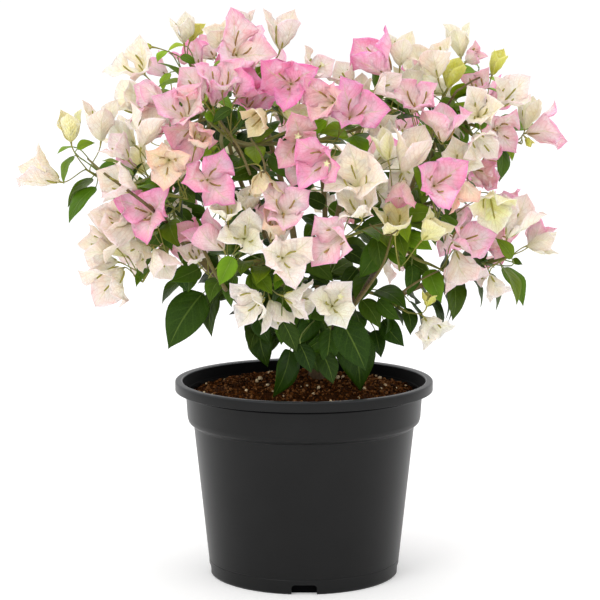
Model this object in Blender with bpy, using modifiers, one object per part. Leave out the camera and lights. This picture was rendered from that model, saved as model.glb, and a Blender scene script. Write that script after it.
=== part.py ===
"""Potted bougainvillea: a bushy plant in bloom, standing in a black nursery pot.

Metres, +Z up. The origin is on the ground under the middle of the pot, +X runs to the right
and +Y away from whoever looks at the front of the plant.
"""

import math
import random
from collections import namedtuple

import bmesh
import bpy
from mathutils import Matrix, Vector
from mathutils.bvhtree import BVHTree

# Pot
POT_HEIGHT = 0.190
LIP_RADIUS = 0.125
LIP_DEPTH = 0.0095
LIP_WALL = 0.0018
FOOT_RADIUS = 0.091
FOOT_WIDTH = 0.004
FLOOR_TOP = 0.005
BODY_TOP_RADIUS = 0.1072
COLLAR_FOOT = 0.150
POT_SIDES = 28
SLOT_WIDTH = 0.023
SLOT_HEIGHT = 0.008
SLOT_REACH = 0.030

# Soil
SOIL_RIM = 0.176
SOIL_MOUND = 0.009
SOIL_RELIEF = 0.0012

# Woody stem
STEM_X = 0.012
STEM_FOOT = 0.100
STEM_RADIUS = 0.0085
FORK_LOW = 0.200
FORK_HIGH = 0.226
STUB_LENGTH = 0.026
LIMB_RADIUS = 0.0034
LIMB_TIP_RADIUS = 0.0018
TWIG_RADIUS = 0.0017
TWIG_POINTS = 3
STALK_RADIUS = 0.0014
STALK_LENGTH = 0.014

# Whorls of bracts
HUB_RADIUS = 0.0018
BRACT_THICKNESS = 0.0008
BRACT_WIDTH = 0.80
BRACT_FOLD = 0.26
TUBE_SHARE = 0.42
PEDICEL_RADIUS = 0.00055
FULL_REACH = 0.042
FULL_OPENING = 44
FULL_LEAF_LENGTH = 0.040

# Leaves
LEAF_THICKNESS = 0.0009
LEAF_WIDTH = 0.60
PETIOLE_HALF = 0.0009
PETIOLE_END = 0.0006

# Crown as an egg, whose skin the whorls lie on
CROWN_MIDDLE = Vector((-0.012, 0.0, 0.372))
CROWN_HALF = Vector((0.265, 0.205, 0.188))
ROUND_HALF = Vector((0.235, 0.190, 0.140))
OUTLINE_X = 310.0
OUTLINE_Y = 172.0
OUTLINE_HALF_X = 178.0
OUTLINE_HALF_Y = 120.0
DIP_X = 322.0
DIP_HALF = 46.0
DIP_Y = 116.0

# Front view that the places on the plant's front are given in: pixels of a 600 pixel square
VIEW_PLACE = Vector((-0.0039, -2.0126, 0.5468))
VIEW_PITCH = 0.138
VIEW_FOCAL = 2103.6
VIEW_MIDDLE = 300.0

# Clearance between neighbours, and the extra room that a piece is tested with
GAP = 0.0003
ROOM = 0.0007

SEED = 7
ROUND_BLOOMS = 52
ROUND_SPRAYS = 15

Bloom = namedtuple("Bloom", "x y aim_x aim_y reach opening")
Leaf = namedtuple("Leaf", "x y tip_x tip_y")
Spray = namedtuple("Spray", "name root_x root_y tint blooms")

# Limbs: x and y in the front view, then how far behind the pot's axis in millimetres
LIMBS = {
    "left": ((268, 318, -35), (240, 302, -55), (205, 265, -70), (172, 225, -60), (130, 192, -30), (98, 171, -10)),
    "left_back": ((262, 312, 40), (225, 280, 80), (180, 240, 100), (150, 190, 95)),
    "upper_left": ((290, 285, -15), (262, 215, -25), (244, 160, -35), (215, 115, -30), (192, 72, -5)),
    "upper_middle": ((300, 280, -45), (290, 215, -80), (274, 155, -85), (264, 115, -60), (264, 84, -20)),
    "upper_right": ((325, 280, -25), (338, 215, -60), (352, 150, -70), (368, 110, -40), (384, 86, -10)),
    "right": ((342, 316, -45), (362, 290, -65), (385, 255, -85), (402, 215, -88), (420, 165, -70), (436, 120, -40),
              (462, 92, -12)),
    "right_low": ((345, 326, -8), (385, 302, -22), (420, 286, -28), (458, 272, -22), (498, 258, -5)),
    "back_right": ((340, 300, 50), (375, 250, 100), (410, 200, 125), (430, 150, 110)),
    "back_left": ((290, 295, 60), (265, 235, 110), (240, 180, 125), (225, 130, 100)),
    "back_middle": ((318, 285, 55), (325, 220, 110), (320, 160, 135), (312, 115, 110)),
    "front": ((306, 322, -60), (296, 298, -100), (288, 275, -130), (284, 258, -145)),
}

# Sprays of the front: where their stalk forks, then each whorl's foot, the way that it faces
# (right, down), the length of its bracts in millimetres and how far they open in degrees
SPRAYS = (
    Spray("far_left", 88, 168, "cream", (
        Bloom(60, 182, -0.9, -0.5, 42, 34), Bloom(71, 142, -0.02, -1.0, 33, 22), Bloom(101, 141, 0.05, -1.0, 40, 28))),
    Spray("upper_left_tip", 186, 58, "cream", (
        Bloom(184, 43, -0.1, -1.0, 28, 25), Bloom(190, 41, 0.5, -1.0, 22, 25), Bloom(152, 47, -1.0, -0.1, 15, 20))),
    Spray("left_shoulder", 172, 92, "pink", (
        Bloom(144, 74, -0.45, -0.6, 38, 50), Bloom(165, 105, -1.0, -0.3, 34, 40))),
    Spray("left_high", 138, 172, "cream", (
        Bloom(141, 147, 0.35, -1.0, 42, 30), Bloom(128, 160, -0.6, -0.8, 30, 35))),
    Spray("left_middle", 172, 190, "peach", (
        Bloom(169, 160, 0.0, 0.15, 31, 54), Bloom(178, 180, 0.2, -1.0, 32, 30), Bloom(137, 190, -0.8, -0.4, 40, 35))),
    Spray("left_pink", 222, 125, "pink", (
        Bloom(203, 100, -0.5, -0.7, 34, 40), Bloom(213, 106, 0.1, -1.0, 38, 35), Bloom(237, 97, 0.7, -0.7, 32, 45))),
    Spray("left_inner", 226, 158, "pink", (
        Bloom(200, 128, -0.35, 0.5, 34, 60), Bloom(207, 180, 0.35, -0.2, 36, 60), Bloom(262, 170, 0.2, 1.0, 28, 40))),
    Spray("crown_top", 252, 74, "pink", (
        Bloom(236, 55, 0.3, -0.5, 42, 60), Bloom(230, 52, -0.6, -1.0, 32, 30), Bloom(243, 32, 0.0, -1.0, 24, 30),
        Bloom(280, 50, 0.1, -1.0, 40, 30))),
    Spray("crown_middle", 284, 122, "pink", (
        Bloom(291, 84, -0.1, -0.15, 37, 58), Bloom(305, 76, 0.6, -0.6, 30, 40), Bloom(265, 112, -0.6, 0.5, 26, 40),
        Bloom(281, 108, 1.0, 0.4, 30, 30))),
    Spray("heart_high", 326, 135, "pink", (
        Bloom(298, 141, 0.1, 0.1, 34, 60), Bloom(333, 103, -0.5, -0.3, 32, 45), Bloom(350, 118, 0.2, -0.5, 40, 55),
        Bloom(330, 158, -0.5, 0.1, 40, 50))),
    Spray("right_high", 384, 106, "pink", (
        Bloom(390, 75, -0.7, -0.9, 47, 36), Bloom(352, 88, -0.5, -0.8, 30, 35), Bloom(365, 98, -0.2, -1.0, 22, 30),
        Bloom(374, 92, 0.8, -0.3, 28, 35), Bloom(400, 66, 0.0, -1.0, 34, 28), Bloom(372, 115, 0.7, 0.7, 26, 50))),
    Spray("right_peak", 446, 92, "cream", (
        Bloom(438, 78, -0.2, -1.0, 40, 40), Bloom(461, 57, -0.2, -1.0, 34, 25), Bloom(466, 62, 0.6, -0.6, 22, 30))),
    Spray("right_tip", 474, 108, "cream", (
        Bloom(492, 75, 0.4, -1.0, 26, 20), Bloom(500, 105, 0.4, -0.6, 36, 40), Bloom(480, 95, -0.3, -0.8, 28, 40))),
    Spray("right_shoulder", 432, 132, "pink", (
        Bloom(417, 110, -0.1, -0.7, 34, 45), Bloom(443, 142, 0.1, -1.0, 40, 45))),
    Spray("right_cream", 487, 142, "cream", (
        Bloom(478, 117, 0.0, -0.5, 32, 50), Bloom(475, 135, 0.3, 0.5, 30, 45), Bloom(497, 128, 0.3, 0.1, 30, 60))),
    Spray("right_far", 516, 134, "pink", (
        Bloom(526, 133, 1.0, -0.25, 40, 36), Bloom(526, 138, 0.6, 0.8, 10, 20))),
    Spray("middle_bud", 396, 197, "cream", (
        Bloom(402, 173, 0.35, -1.0, 46, 28), Bloom(388, 160, -0.3, -1.0, 30, 20), Bloom(404, 180, -0.2, 1.0, 28, 35))),
    Spray("right_front", 462, 190, "cream", (
        Bloom(458, 168, 0.0, -0.4, 32, 55), Bloom(472, 167, 1.0, 0.1, 34, 50), Bloom(490, 195, 0.1, 0.6, 34, 60))),
    Spray("right_pink", 440, 208, "pink", (
        Bloom(434, 186, 0.3, -0.3, 36, 60), Bloom(455, 178, 0.5, 1.0, 34, 35))),
    Spray("middle_front", 354, 228, "cream", (
        Bloom(358, 188, -0.2, -0.6, 44, 55), Bloom(362, 217, -0.3, -0.7, 38, 45), Bloom(343, 236, -0.5, 0.15, 40, 50))),
    Spray("middle_pink", 279, 243, "pink", (
        Bloom(283, 214, 0.1, -0.5, 36, 55), Bloom(271, 239, 0.25, -0.9, 38, 40))),
    Spray("middle_cream", 240, 254, "cream", (
        Bloom(244, 239, 0.0, -0.35, 31, 56), Bloom(228, 220, -0.1, -0.8, 26, 40), Bloom(247, 212, 0.1, -1.0, 26, 40))),
    Spray("low_white", 274, 284, "cream", (
        Bloom(282, 258, 0.3, -0.1, 35, 58), Bloom(262, 297, -0.6, 0.25, 35, 48), Bloom(270, 300, 0.3, 1.0, 34, 35),
        Bloom(284, 296, 1.0, 0.1, 34, 45))),
    Spray("low_middle", 338, 318, "cream", (
        Bloom(332, 306, 0.1, -0.25, 34, 54),)),
    Spray("left_dusky", 218, 268, "pink", (
        Bloom(224, 250, -0.7, -0.75, 40, 28), Bloom(203, 238, -0.7, -0.5, 28, 35))),
    Spray("left_bright", 160, 236, "pink", (
        Bloom(151, 214, -0.35, -0.25, 36, 65), Bloom(142, 224, -1.0, 0.2, 50, 36), Bloom(150, 245, -0.7, 0.5, 34, 45),
        Bloom(154, 249, 0.5, 0.8, 32, 35))),
    Spray("left_low", 140, 267, "cream", (
        Bloom(123, 268, -0.6, 0.6, 46, 48), Bloom(127, 256, -0.8, -0.75, 30, 28))),
    Spray("right_yellow", 402, 251, "cream", (
        Bloom(395, 235, 0.0, -0.9, 34, 45), Bloom(422, 240, 0.7, -0.8, 32, 40))),
    Spray("right_low_pink", 438, 259, "pink", (
        Bloom(453, 242, 0.7, -0.35, 40, 50), Bloom(455, 250, 0.35, 0.9, 42, 40))),
    Spray("right_edge", 508, 256, "pink", (
        Bloom(507, 238, 0.45, -1.0, 44, 32), Bloom(527, 246, 1.0, -0.15, 30, 24), Bloom(490, 275, 0.5, 0.9, 26, 35),
        Bloom(486, 270, -0.6, 0.5, 18, 30))),
    Spray("low_right", 406, 306, "cream", (
        Bloom(424, 317, 0.5, 0.6, 32, 46), Bloom(427, 306, 0.2, -1.0, 16, 30))),
)

# Leaves of the front: foot and tip of each blade
LEAVES = (
    Leaf(73, 156, 62, 183), Leaf(96, 187, 66, 220), Leaf(99, 168, 123, 176), Leaf(75, 147, 57, 151),
    Leaf(76, 146, 94, 142), Leaf(136, 188, 170, 193), Leaf(173, 203, 168, 219), Leaf(168, 225, 157, 242),
    Leaf(198, 262, 176, 253), Leaf(181, 266, 187, 292), Leaf(180, 281, 160, 302), Leaf(203, 293, 167, 348),
    Leaf(216, 291, 209, 336), Leaf(233, 256, 219, 283), Leaf(227, 252, 229, 235), Leaf(237, 258, 262, 282),
    Leaf(256, 270, 272, 294), Leaf(205, 214, 178, 211), Leaf(166, 51, 157, 61), Leaf(184, 45, 168, 49),
    Leaf(180, 57, 195, 63), Leaf(169, 73, 162, 90), Leaf(232, 112, 213, 122), Leaf(252, 104, 238, 119),
    Leaf(243, 135, 247, 157), Leaf(270, 155, 310, 184), Leaf(257, 171, 231, 178), Leaf(240, 160, 221, 163),
    Leaf(254, 140, 273, 129), Leaf(262, 79, 268, 97), Leaf(347, 134, 316, 141), Leaf(403, 113, 386, 118),
    Leaf(474, 70, 453, 75), Leaf(479, 67, 465, 60), Leaf(490, 77, 511, 97), Leaf(453, 100, 436, 113),
    Leaf(456, 100, 475, 95), Leaf(505, 147, 513, 160), Leaf(431, 165, 442, 157), Leaf(470, 181, 474, 201),
    Leaf(398, 197, 378, 206), Leaf(383, 242, 361, 278), Leaf(405, 258, 431, 274), Leaf(388, 250, 408, 264),
    Leaf(406, 236, 432, 249), Leaf(377, 290, 415, 309), Leaf(452, 276, 456, 320), Leaf(378, 300, 399, 321),
    Leaf(362, 300, 380, 328), Leaf(383, 320, 404, 346), Leaf(375, 330, 382, 357), Leaf(406, 308, 412, 334),
    Leaf(357, 268, 340, 290), Leaf(330, 262, 312, 290), Leaf(258, 325, 266, 367), Leaf(290, 350, 275, 399),
    Leaf(312, 345, 318, 372), Leaf(345, 325, 361, 391), Leaf(318, 312, 296, 345), Leaf(330, 330, 300, 355),
    Leaf(502, 268, 526, 304), Leaf(511, 256, 494, 238), Leaf(502, 260, 489, 244), Leaf(512, 262, 523, 264),
    Leaf(310, 190, 285, 175), Leaf(325, 205, 300, 195), Leaf(318, 225, 300, 215), Leaf(330, 215, 345, 200),
    Leaf(320, 245, 300, 238), Leaf(335, 262, 318, 250), Leaf(310, 262, 330, 285), Leaf(300, 270, 285, 290),
    Leaf(350, 270, 330, 258), Leaf(280, 190, 262, 180), Leaf(340, 180, 330, 195),
)

# Colours: base colour, roughness, metallic
FINISHES = {
    "pot": ((0.028, 0.029, 0.030), 0.55, 0.0),
    "soil": ((0.060, 0.026, 0.014), 0.95, 0.0),
    "trunk": ((0.130, 0.085, 0.050), 0.80, 0.0),
    "limb": ((0.055, 0.145, 0.025), 0.45, 0.0),
    "pink": ((0.820, 0.330, 0.560), 0.60, 0.0),
    "cream": ((0.860, 0.800, 0.640), 0.60, 0.0),
    "peach": ((0.860, 0.520, 0.420), 0.60, 0.0),
}


def seen(x, y, behind):
    """Point at pixel x, y of the front view that lies `behind` metres past the pot's axis."""
    ahead = Vector((0.0, math.cos(VIEW_PITCH), -math.sin(VIEW_PITCH)))
    upward = Vector((0.0, math.sin(VIEW_PITCH), math.cos(VIEW_PITCH)))
    ray = ahead + Vector((1.0, 0.0, 0.0)) * ((x - VIEW_MIDDLE) / VIEW_FOCAL)
    ray = ray - upward * ((y - VIEW_MIDDLE) / VIEW_FOCAL)
    return VIEW_PLACE + ray * ((behind - VIEW_PLACE.y) / ray.y)


def in_view(point):
    """Pixel of the front view at which a point is seen."""
    away = point - VIEW_PLACE
    depth = away.y * math.cos(VIEW_PITCH) - away.z * math.sin(VIEW_PITCH)
    rise = away.y * math.sin(VIEW_PITCH) + away.z * math.cos(VIEW_PITCH)
    return VIEW_MIDDLE + VIEW_FOCAL * away.x / depth, VIEW_MIDDLE - VIEW_FOCAL * rise / depth


def inside_outline(point):
    """Says whether a whorl at a point stays within the crown's outline as the front shows it."""
    x, y = in_view(point)
    if abs(x - DIP_X) < DIP_HALF and y < DIP_Y:
        return False
    return ((x - OUTLINE_X) / OUTLINE_HALF_X) ** 4 + ((y - OUTLINE_Y) / OUTLINE_HALF_Y) ** 4 < 1.0


def on_skin(x, y):
    """Point of the crown's front skin at pixel x, y."""
    flat = seen(x, y, 0.0) - CROWN_MIDDLE
    left_over = 1.0 - (flat.x / CROWN_HALF.x) ** 2 - (flat.z / CROWN_HALF.z) ** 2
    return seen(x, y, -CROWN_HALF.y * math.sqrt(max(left_over, 0.0)))


def outward(point):
    """Direction in which the crown's skin faces near a point."""
    away = point - CROWN_MIDDLE
    return Vector((away.x / CROWN_HALF.x ** 2, away.y / CROWN_HALF.y ** 2, away.z / CROWN_HALF.z ** 2)).normalized()


def across(direction, hint):
    """Unit vector square to a direction, as near to the hint as it can be."""
    side = hint - direction * hint.dot(direction)
    if side.length < 0.05:
        side = direction.orthogonal()
    return side.normalized()


def bent_line(start, start_way, end, end_way, count):
    """Points of one bend that leaves start and reaches end along the two given directions."""
    reach = (end - start).length * 0.38
    corners = (start, start + start_way * reach, end - end_way * reach, end)
    line = []
    for index in range(count):
        t = index / (count - 1)
        s = 1.0 - t
        line.append(corners[0] * s ** 3 + corners[1] * 3 * s * s * t + corners[2] * 3 * s * t * t
                    + corners[3] * t ** 3)
    return line


class Space:
    """Keeps what is placed, so that each new piece is set clear of it."""

    def __init__(self):
        self.kept = []

    def keep(self, owner, verts, faces):
        """Adds a placed piece under its owner's name."""
        low = [min(v[i] for v in verts) for i in range(3)]
        high = [max(v[i] for v in verts) for i in range(3)]
        self.kept.append((owner, low, high, BVHTree.FromPolygons(verts, faces)))

    def clear(self, verts, faces, mates=()):
        """Says whether a piece crosses nothing that is placed, apart from its mates."""
        low = [min(v[i] for v in verts) for i in range(3)]
        high = [max(v[i] for v in verts) for i in range(3)]
        tree = None
        for owner, other_low, other_high, other in self.kept:
            if owner in mates:
                continue
            if any(low[i] > other_high[i] or high[i] < other_low[i] for i in range(3)):
                continue
            if tree is None:
                tree = BVHTree.FromPolygons(verts, faces)
            if tree.overlap(other):
                return False
        return True


def prism(points, radius, sides=3):
    """Slim prism along a line of points, as vertices and faces, to test a stem's room with."""
    verts = []
    faces = []
    for index, point in enumerate(points):
        way = (points[min(index + 1, len(points) - 1)] - points[max(index - 1, 0)]).normalized()
        first = across(way, Vector((0.31, 0.22, 0.93)))
        second = way.cross(first)
        for side in range(sides):
            turn = math.tau * side / sides
            verts.append(point + (first * math.cos(turn) + second * math.sin(turn)) * radius)
    for ring in range(len(points) - 1):
        for side in range(sides):
            a = ring * sides + side
            b = ring * sides + (side + 1) % sides
            faces.append((a, b, b + sides))
            faces.append((a, b + sides, a + sides))
    faces.append(tuple(range(sides))[::-1])
    faces.append(tuple(range(len(verts) - sides, len(verts))))
    return verts, faces


def add_blade(verts, faces, root, base, along, side, up, size, outline, tip_lift, fold):
    """Adds a thick folded blade that grows from the four root vertices.

    The root holds the upper left, upper right, lower right and lower left vertex. The outline
    gives the share of the length and of the width at each step from foot to tip.
    """
    length, width, thickness = size
    upper_left, upper_right, lower_right, lower_left = root
    rings = []
    for layer in (0.0, -thickness):
        right = []
        left = []
        for share, breadth, lift in outline:
            middle = base + along * (length * share) + up * (lift * length + fold * breadth * width + layer)
            right.append(len(verts))
            verts.append(middle + side * (breadth * width))
            left.append(len(verts))
            verts.append(middle - side * (breadth * width))
        tip = len(verts)
        verts.append(base + along * length + up * (tip_lift * length + layer))
        rings.append((right + [tip], left + [tip]))
    for (right, left), a, b in ((rings[0], upper_left, upper_right), (rings[1], lower_left, lower_right)):
        if a != b:
            faces.append((a, b, right[-1]))
        for first, second in zip(right, right[1:]):
            faces.append((b, first, second))
        for first, second in zip(left, left[1:]):
            faces.append((a, second, first))
    upper = [upper_right] + rings[0][0] + rings[0][1][-2::-1] + [upper_left]
    lower = [lower_right] + rings[1][0] + rings[1][1][-2::-1] + [lower_left]
    for index in range(len(upper) - 1):
        faces.append((upper[index], lower[index], lower[index + 1]))
        faces.append((upper[index], lower[index + 1], upper[index + 1]))


FULL_BRACT = ((0.30, 0.42, -0.06), (0.66, 0.40, -0.05))
LEAN_BRACT = ((0.46, 0.46, -0.06),)
FULL_LEAF = ((0.20, 0.42, 0.02), (0.55, 0.36, 0.04))
LEAN_LEAF = ((0.36, 0.46, 0.03),)


def whorl(hub, axis, spin, reach, opening, room=0.0):
    """Three folded bracts around a spike of flower tubes, with the foot left open.

    Returns vertices, faces and the three foot vertices that the pedicel grows from.
    """
    outline = FULL_BRACT if reach >= FULL_REACH and opening >= FULL_OPENING else LEAN_BRACT
    first = across(axis, Vector((0.0, 0.0, 1.0)))
    second = axis.cross(first)
    angle = math.radians(opening)
    thickness = BRACT_THICKNESS + room
    verts = []
    faces = []
    flare = 2 * thickness * math.cos(angle)
    half_depth = thickness * math.sin(angle) / 2
    for radius, height in ((HUB_RADIUS, half_depth), (HUB_RADIUS + flare, -half_depth)):
        for corner in range(3):
            turn = spin + math.tau * corner / 3 - math.pi / 3
            spoke = first * math.cos(turn) + second * math.sin(turn)
            verts.append(hub + spoke * radius + axis * height)
    verts.append(hub + axis * (reach * TUBE_SHARE))
    size = (reach + room, BRACT_WIDTH * reach + room, thickness)
    # A half closed bract is narrow near its foot, so that the three don't meet
    widest = 1.45 * math.sin(angle) / (BRACT_WIDTH * (1.0 + 1.45 * BRACT_FOLD * math.cos(angle)))
    outline = [(share, min(breadth, share * widest), lift) for share, breadth, lift in outline]
    for corner in range(3):
        after = (corner + 1) % 3
        faces.append((corner, after, 6))
        turn = spin + math.tau * corner / 3
        spoke = first * math.cos(turn) + second * math.sin(turn)
        along = axis * math.cos(angle) + spoke * math.sin(angle)
        up = axis * math.sin(angle) - spoke * math.cos(angle)
        base = hub + spoke * (HUB_RADIUS / 2) + axis * half_depth
        add_blade(verts, faces, (corner, after, after + 3, corner + 3), base, along, axis.cross(spoke), up, size,
                  outline, -0.10, BRACT_FOLD)
    return verts, faces, (3, 4, 5)


def add_stalk(verts, faces, foot, facing, line, radius):
    """Adds a three-sided stalk from the foot vertices along the rest of a line, with its end closed."""
    centre = sum((verts[index] for index in foot), Vector()) / 3
    spokes = [(verts[index] - centre).normalized() for index in foot]
    ring = list(foot)
    for number in range(1, len(line)):
        arrive = (line[number] - line[number - 1]).normalized()
        leave = (line[number + 1] - line[number]).normalized() if number + 1 < len(line) else arrive
        way = (arrive + leave).normalized()
        turn = facing.rotation_difference(way)
        spokes = [turn @ spoke for spoke in spokes]
        facing = way
        new_ring = []
        for spoke in spokes:
            new_ring.append(len(verts))
            verts.append(line[number] + spoke * radius)
        for side in range(3):
            first, second = ring[side], ring[(side + 1) % 3]
            third, fourth = new_ring[side], new_ring[(side + 1) % 3]
            faces.append((first, second, fourth))
            faces.append((first, fourth, third))
        ring = new_ring
    faces.append(tuple(ring))


def stalk_line(start, facing, end, bend):
    """Line of a stalk that leaves start along its facing and ends at end, bent where it has to turn."""
    way = end - start
    if way.normalized().dot(facing) > 0.42:
        return [start, end]
    return [start, start + facing * min(bend, way.length * 0.4), end]


def leaf_blade(base, tip, facing, room=0.0):
    """Folded leaf blade, open at its foot: vertices, faces, foot vertices and the way the petiole leaves."""
    along = (tip - base).normalized()
    up = across(along, facing)
    side = along.cross(up)
    length = (tip - base).length
    half = PETIOLE_HALF + room / 2
    verts = [base + (side * x + up * y) * half for x, y in ((-1, 0.6), (1, 0.6), (0, -1))]
    faces = []
    size = (length + room, LEAF_WIDTH * length + room, LEAF_THICKNESS + room)
    outline = FULL_LEAF if length >= FULL_LEAF_LENGTH else LEAN_LEAF
    add_blade(verts, faces, (0, 1, 2, 2), base + up * (LEAF_THICKNESS + room) / 2, along, side, up, size,
              outline, -0.08, 0.28)
    return verts, faces, (0, 1, 2), -along


class Plant:
    """Works out where every stem, whorl and leaf of the plant lies."""

    def __init__(self):
        self.space = Space()
        self.draw = random.Random(SEED)
        self.limbs = {}
        self.stubs = []
        self.twigs = {name: [] for name in LIMBS}
        self.leaves = {name: [] for name in LIMBS}
        self.sprays = {}
        self.stations = []
        self.left_out = []

    def grow(self):
        """Places stems first, then the whorls and leaves, each clear of all before it."""
        self.grow_limbs()
        sprays = self.front_sprays() + self.round_sprays()
        for name, tint, root, blooms in sprays:
            self.grow_twig(name, tint, root, blooms)
        for name, tint, root, blooms in sprays:
            if name in self.sprays:
                for bloom in blooms:
                    self.grow_whorl(name, bloom)
        for leaf in LEAVES:
            self.grow_front_leaf(leaf)
        self.grow_round_leaves()

    def grow_limbs(self):
        """Lays the limbs from their stubs on the woody stem."""
        routes = {name: [seen(x, y, behind / 1000) for x, y, behind in LIMBS[name]] for name in LIMBS}
        middle = Vector((STEM_X, 0.0, (FORK_LOW + FORK_HIGH) / 2))
        steepness = {name: (route[0] - middle).normalized().z for name, route in routes.items()}
        names = sorted(routes, key=steepness.get)
        for index, name in enumerate(names):
            fork = Vector((STEM_X, 0.0, FORK_LOW + (FORK_HIGH - FORK_LOW) * index / (len(names) - 1)))
            route = routes[name]
            way = (route[0] - fork).normalized()
            end = fork + way * STUB_LENGTH
            self.stubs.append((fork, end))
            line = [end + way * GAP] + route
            self.limbs[name] = line
            self.space.keep("stem " + name, *prism(line, LIMB_RADIUS + ROOM, 6))
            for place, after in zip(route, route[1:]):
                growth = (after - place).normalized()
                self.stations.append((name, place, growth))
                self.stations.append((name, place.lerp(after, 0.5), growth))
            self.stations.append((name, route[-1], growth))
        for fork, end in self.stubs:
            self.space.keep("stem trunk", *prism([fork, end], LIMB_RADIUS + ROOM, 6))
        top = Vector((STEM_X, 0.0, FORK_HIGH))
        self.space.keep("stem trunk", *prism([Vector((STEM_X, 0.0, STEM_FOOT)), top], STEM_RADIUS + ROOM, 8))
        edge = [Vector((LIP_RADIUS * math.cos(turn), LIP_RADIUS * math.sin(turn), POT_HEIGHT))
                for turn in (math.tau * side / 24 for side in range(25))]
        self.space.keep("pot", *prism(edge, 0.004, 4))
        low = SOIL_RIM + SOIL_MOUND
        corners = [Vector((x * LIP_RADIUS, y * LIP_RADIUS, low)) for x, y in ((-1, -1), (1, -1), (1, 1), (-1, 1))]
        self.space.keep("soil", corners, [(0, 1, 2, 3)])

    def front_sprays(self):
        """Sprays of the front, whose whorls lie on the crown's front skin."""
        sprays = []
        for spray in SPRAYS:
            blooms = []
            for bloom in spray.blooms:
                hub = on_skin(bloom.x, bloom.y)
                flat = math.hypot(bloom.aim_x, bloom.aim_y)
                axis = Vector((bloom.aim_x, -math.sqrt(max(1.0 - flat * flat, 0.05)), -bloom.aim_y)).normalized()
                inward = (hub - VIEW_PLACE).normalized()
                hub = hub + inward * (self.draw.random() * 0.012)
                blooms.append((hub, axis, bloom.reach / 1000, bloom.opening, inward))
            depth = sum(bloom[0].y for bloom in blooms) / len(blooms)
            root = seen(spray.root_x, spray.root_y, min(depth + 0.030, 0.05))
            sprays.append((spray.name, spray.tint, root, blooms))
        return sprays

    def round_sprays(self):
        """Sprays of the sides, top and back, spread evenly by the golden angle."""
        golden = math.pi * (3 - math.sqrt(5))
        places = []
        number = 0
        total = int(ROUND_BLOOMS * 1.62)
        while len(places) < ROUND_BLOOMS and number < total:
            z = 1.0 - 1.62 * (number + 0.5) / total
            ring = math.sqrt(1.0 - z * z)
            turn = golden * number
            number += 1
            unit = Vector((ring * math.cos(turn), ring * math.sin(turn), z))
            if unit.y < -0.22 * (1.0 - 0.5 * max(z, 0.0)):
                continue
            spot = Vector((unit.x * ROUND_HALF.x, unit.y * ROUND_HALF.y, unit.z * ROUND_HALF.z))
            spot = spot * (1.0 - 0.09 * self.draw.random())
            while not inside_outline(CROWN_MIDDLE + spot):
                spot = spot * 0.94
            places.append(CROWN_MIDDLE + spot)
        roots = []
        for index in range(ROUND_SPRAYS):
            roots.append(places[int((index + 0.5) * len(places) / ROUND_SPRAYS)])
        groups = [[] for _ in roots]
        for _ in range(6):
            groups = [[] for _ in roots]
            for place in places:
                nearest = min(range(len(roots)), key=lambda i: (roots[i] - place).length)
                groups[nearest].append(place)
            roots = [sum(group, Vector()) / len(group) if group else root for group, root in zip(groups, roots)]
        sprays = []
        for index, (root, group) in enumerate(zip(roots, groups)):
            blooms = []
            for hub in group:
                tilt = Vector([self.draw.uniform(-0.6, 0.6) for _ in range(3)])
                axis = (outward(hub) + tilt).normalized()
                reach = self.draw.uniform(0.027, 0.040)
                opening = self.draw.uniform(28, 60)
                blooms.append((hub, axis, reach, opening, -outward(hub)))
            fork = root - outward(root) * 0.028
            sprays.append(("round_%02d" % (index + 1), ("pink", "cream")[index % 2], fork, blooms))
        return sprays

    def grow_twig(self, name, tint, root, blooms):
        """Grows the twig that carries a spray from the nearest limb, and the spray's stalk."""
        middle = sum((bloom[0] for bloom in blooms), Vector()) / len(blooms)
        way = (middle - root).normalized()
        way = (way + (root - Vector((STEM_X, 0.0, FORK_HIGH))).normalized() * 0.6).normalized()
        aside = across(way, Vector((0.0, 0.0, 1.0))) * 0.006
        for move in (Vector(), aside, -aside, way.cross(aside), aside.cross(way), aside * 2, aside * -2):
            found = self.twig_to(root + move - way * STALK_LENGTH, way)
            if found:
                break
        else:
            self.left_out.append("spray " + name)
            return
        limb, line, stalk = found
        self.twigs[limb].append(line)
        self.space.keep("stem " + limb, *prism(line, TWIG_RADIUS + ROOM, 4))
        for place, after in zip(line[1:], line[2:]):
            self.stations.append((limb, place, (after - place).normalized()))
        self.space.keep("stem spray " + name, *prism(stalk, STALK_RADIUS + ROOM, 4))
        self.sprays[name] = {"tint": tint, "stalk": stalk, "whorls": []}

    def twig_to(self, end, way):
        """Shortest clear twig that arrives at end: its limb, its line and the line of the stalk past it."""
        options = []
        for limb, place, growth in self.stations:
            apart = end - place
            if apart.length > 0.012:
                options.append((apart.length * (1.6 - 0.6 * apart.normalized().dot(growth)), limb, place, growth))
        options.sort(key=lambda option: option[0])
        for cost, limb, place, growth in options[:30]:
            for swing in (0.0, 0.7, -0.7, 1.4, -1.4, 2.4, -2.4):
                leave = (growth + way + growth.cross(way) * swing).normalized()
                line = bent_line(place, leave, end, way, TWIG_POINTS)
                last = (line[-1] - line[-2]).normalized()
                stalk = [end + last * GAP, end + last * STALK_LENGTH]
                twig_clear = self.space.clear(*prism(line, TWIG_RADIUS + ROOM, 4), ("stem " + limb,))
                if twig_clear and self.space.clear(*prism(stalk, STALK_RADIUS + ROOM, 4)):
                    return limb, line, stalk
        return None

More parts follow.
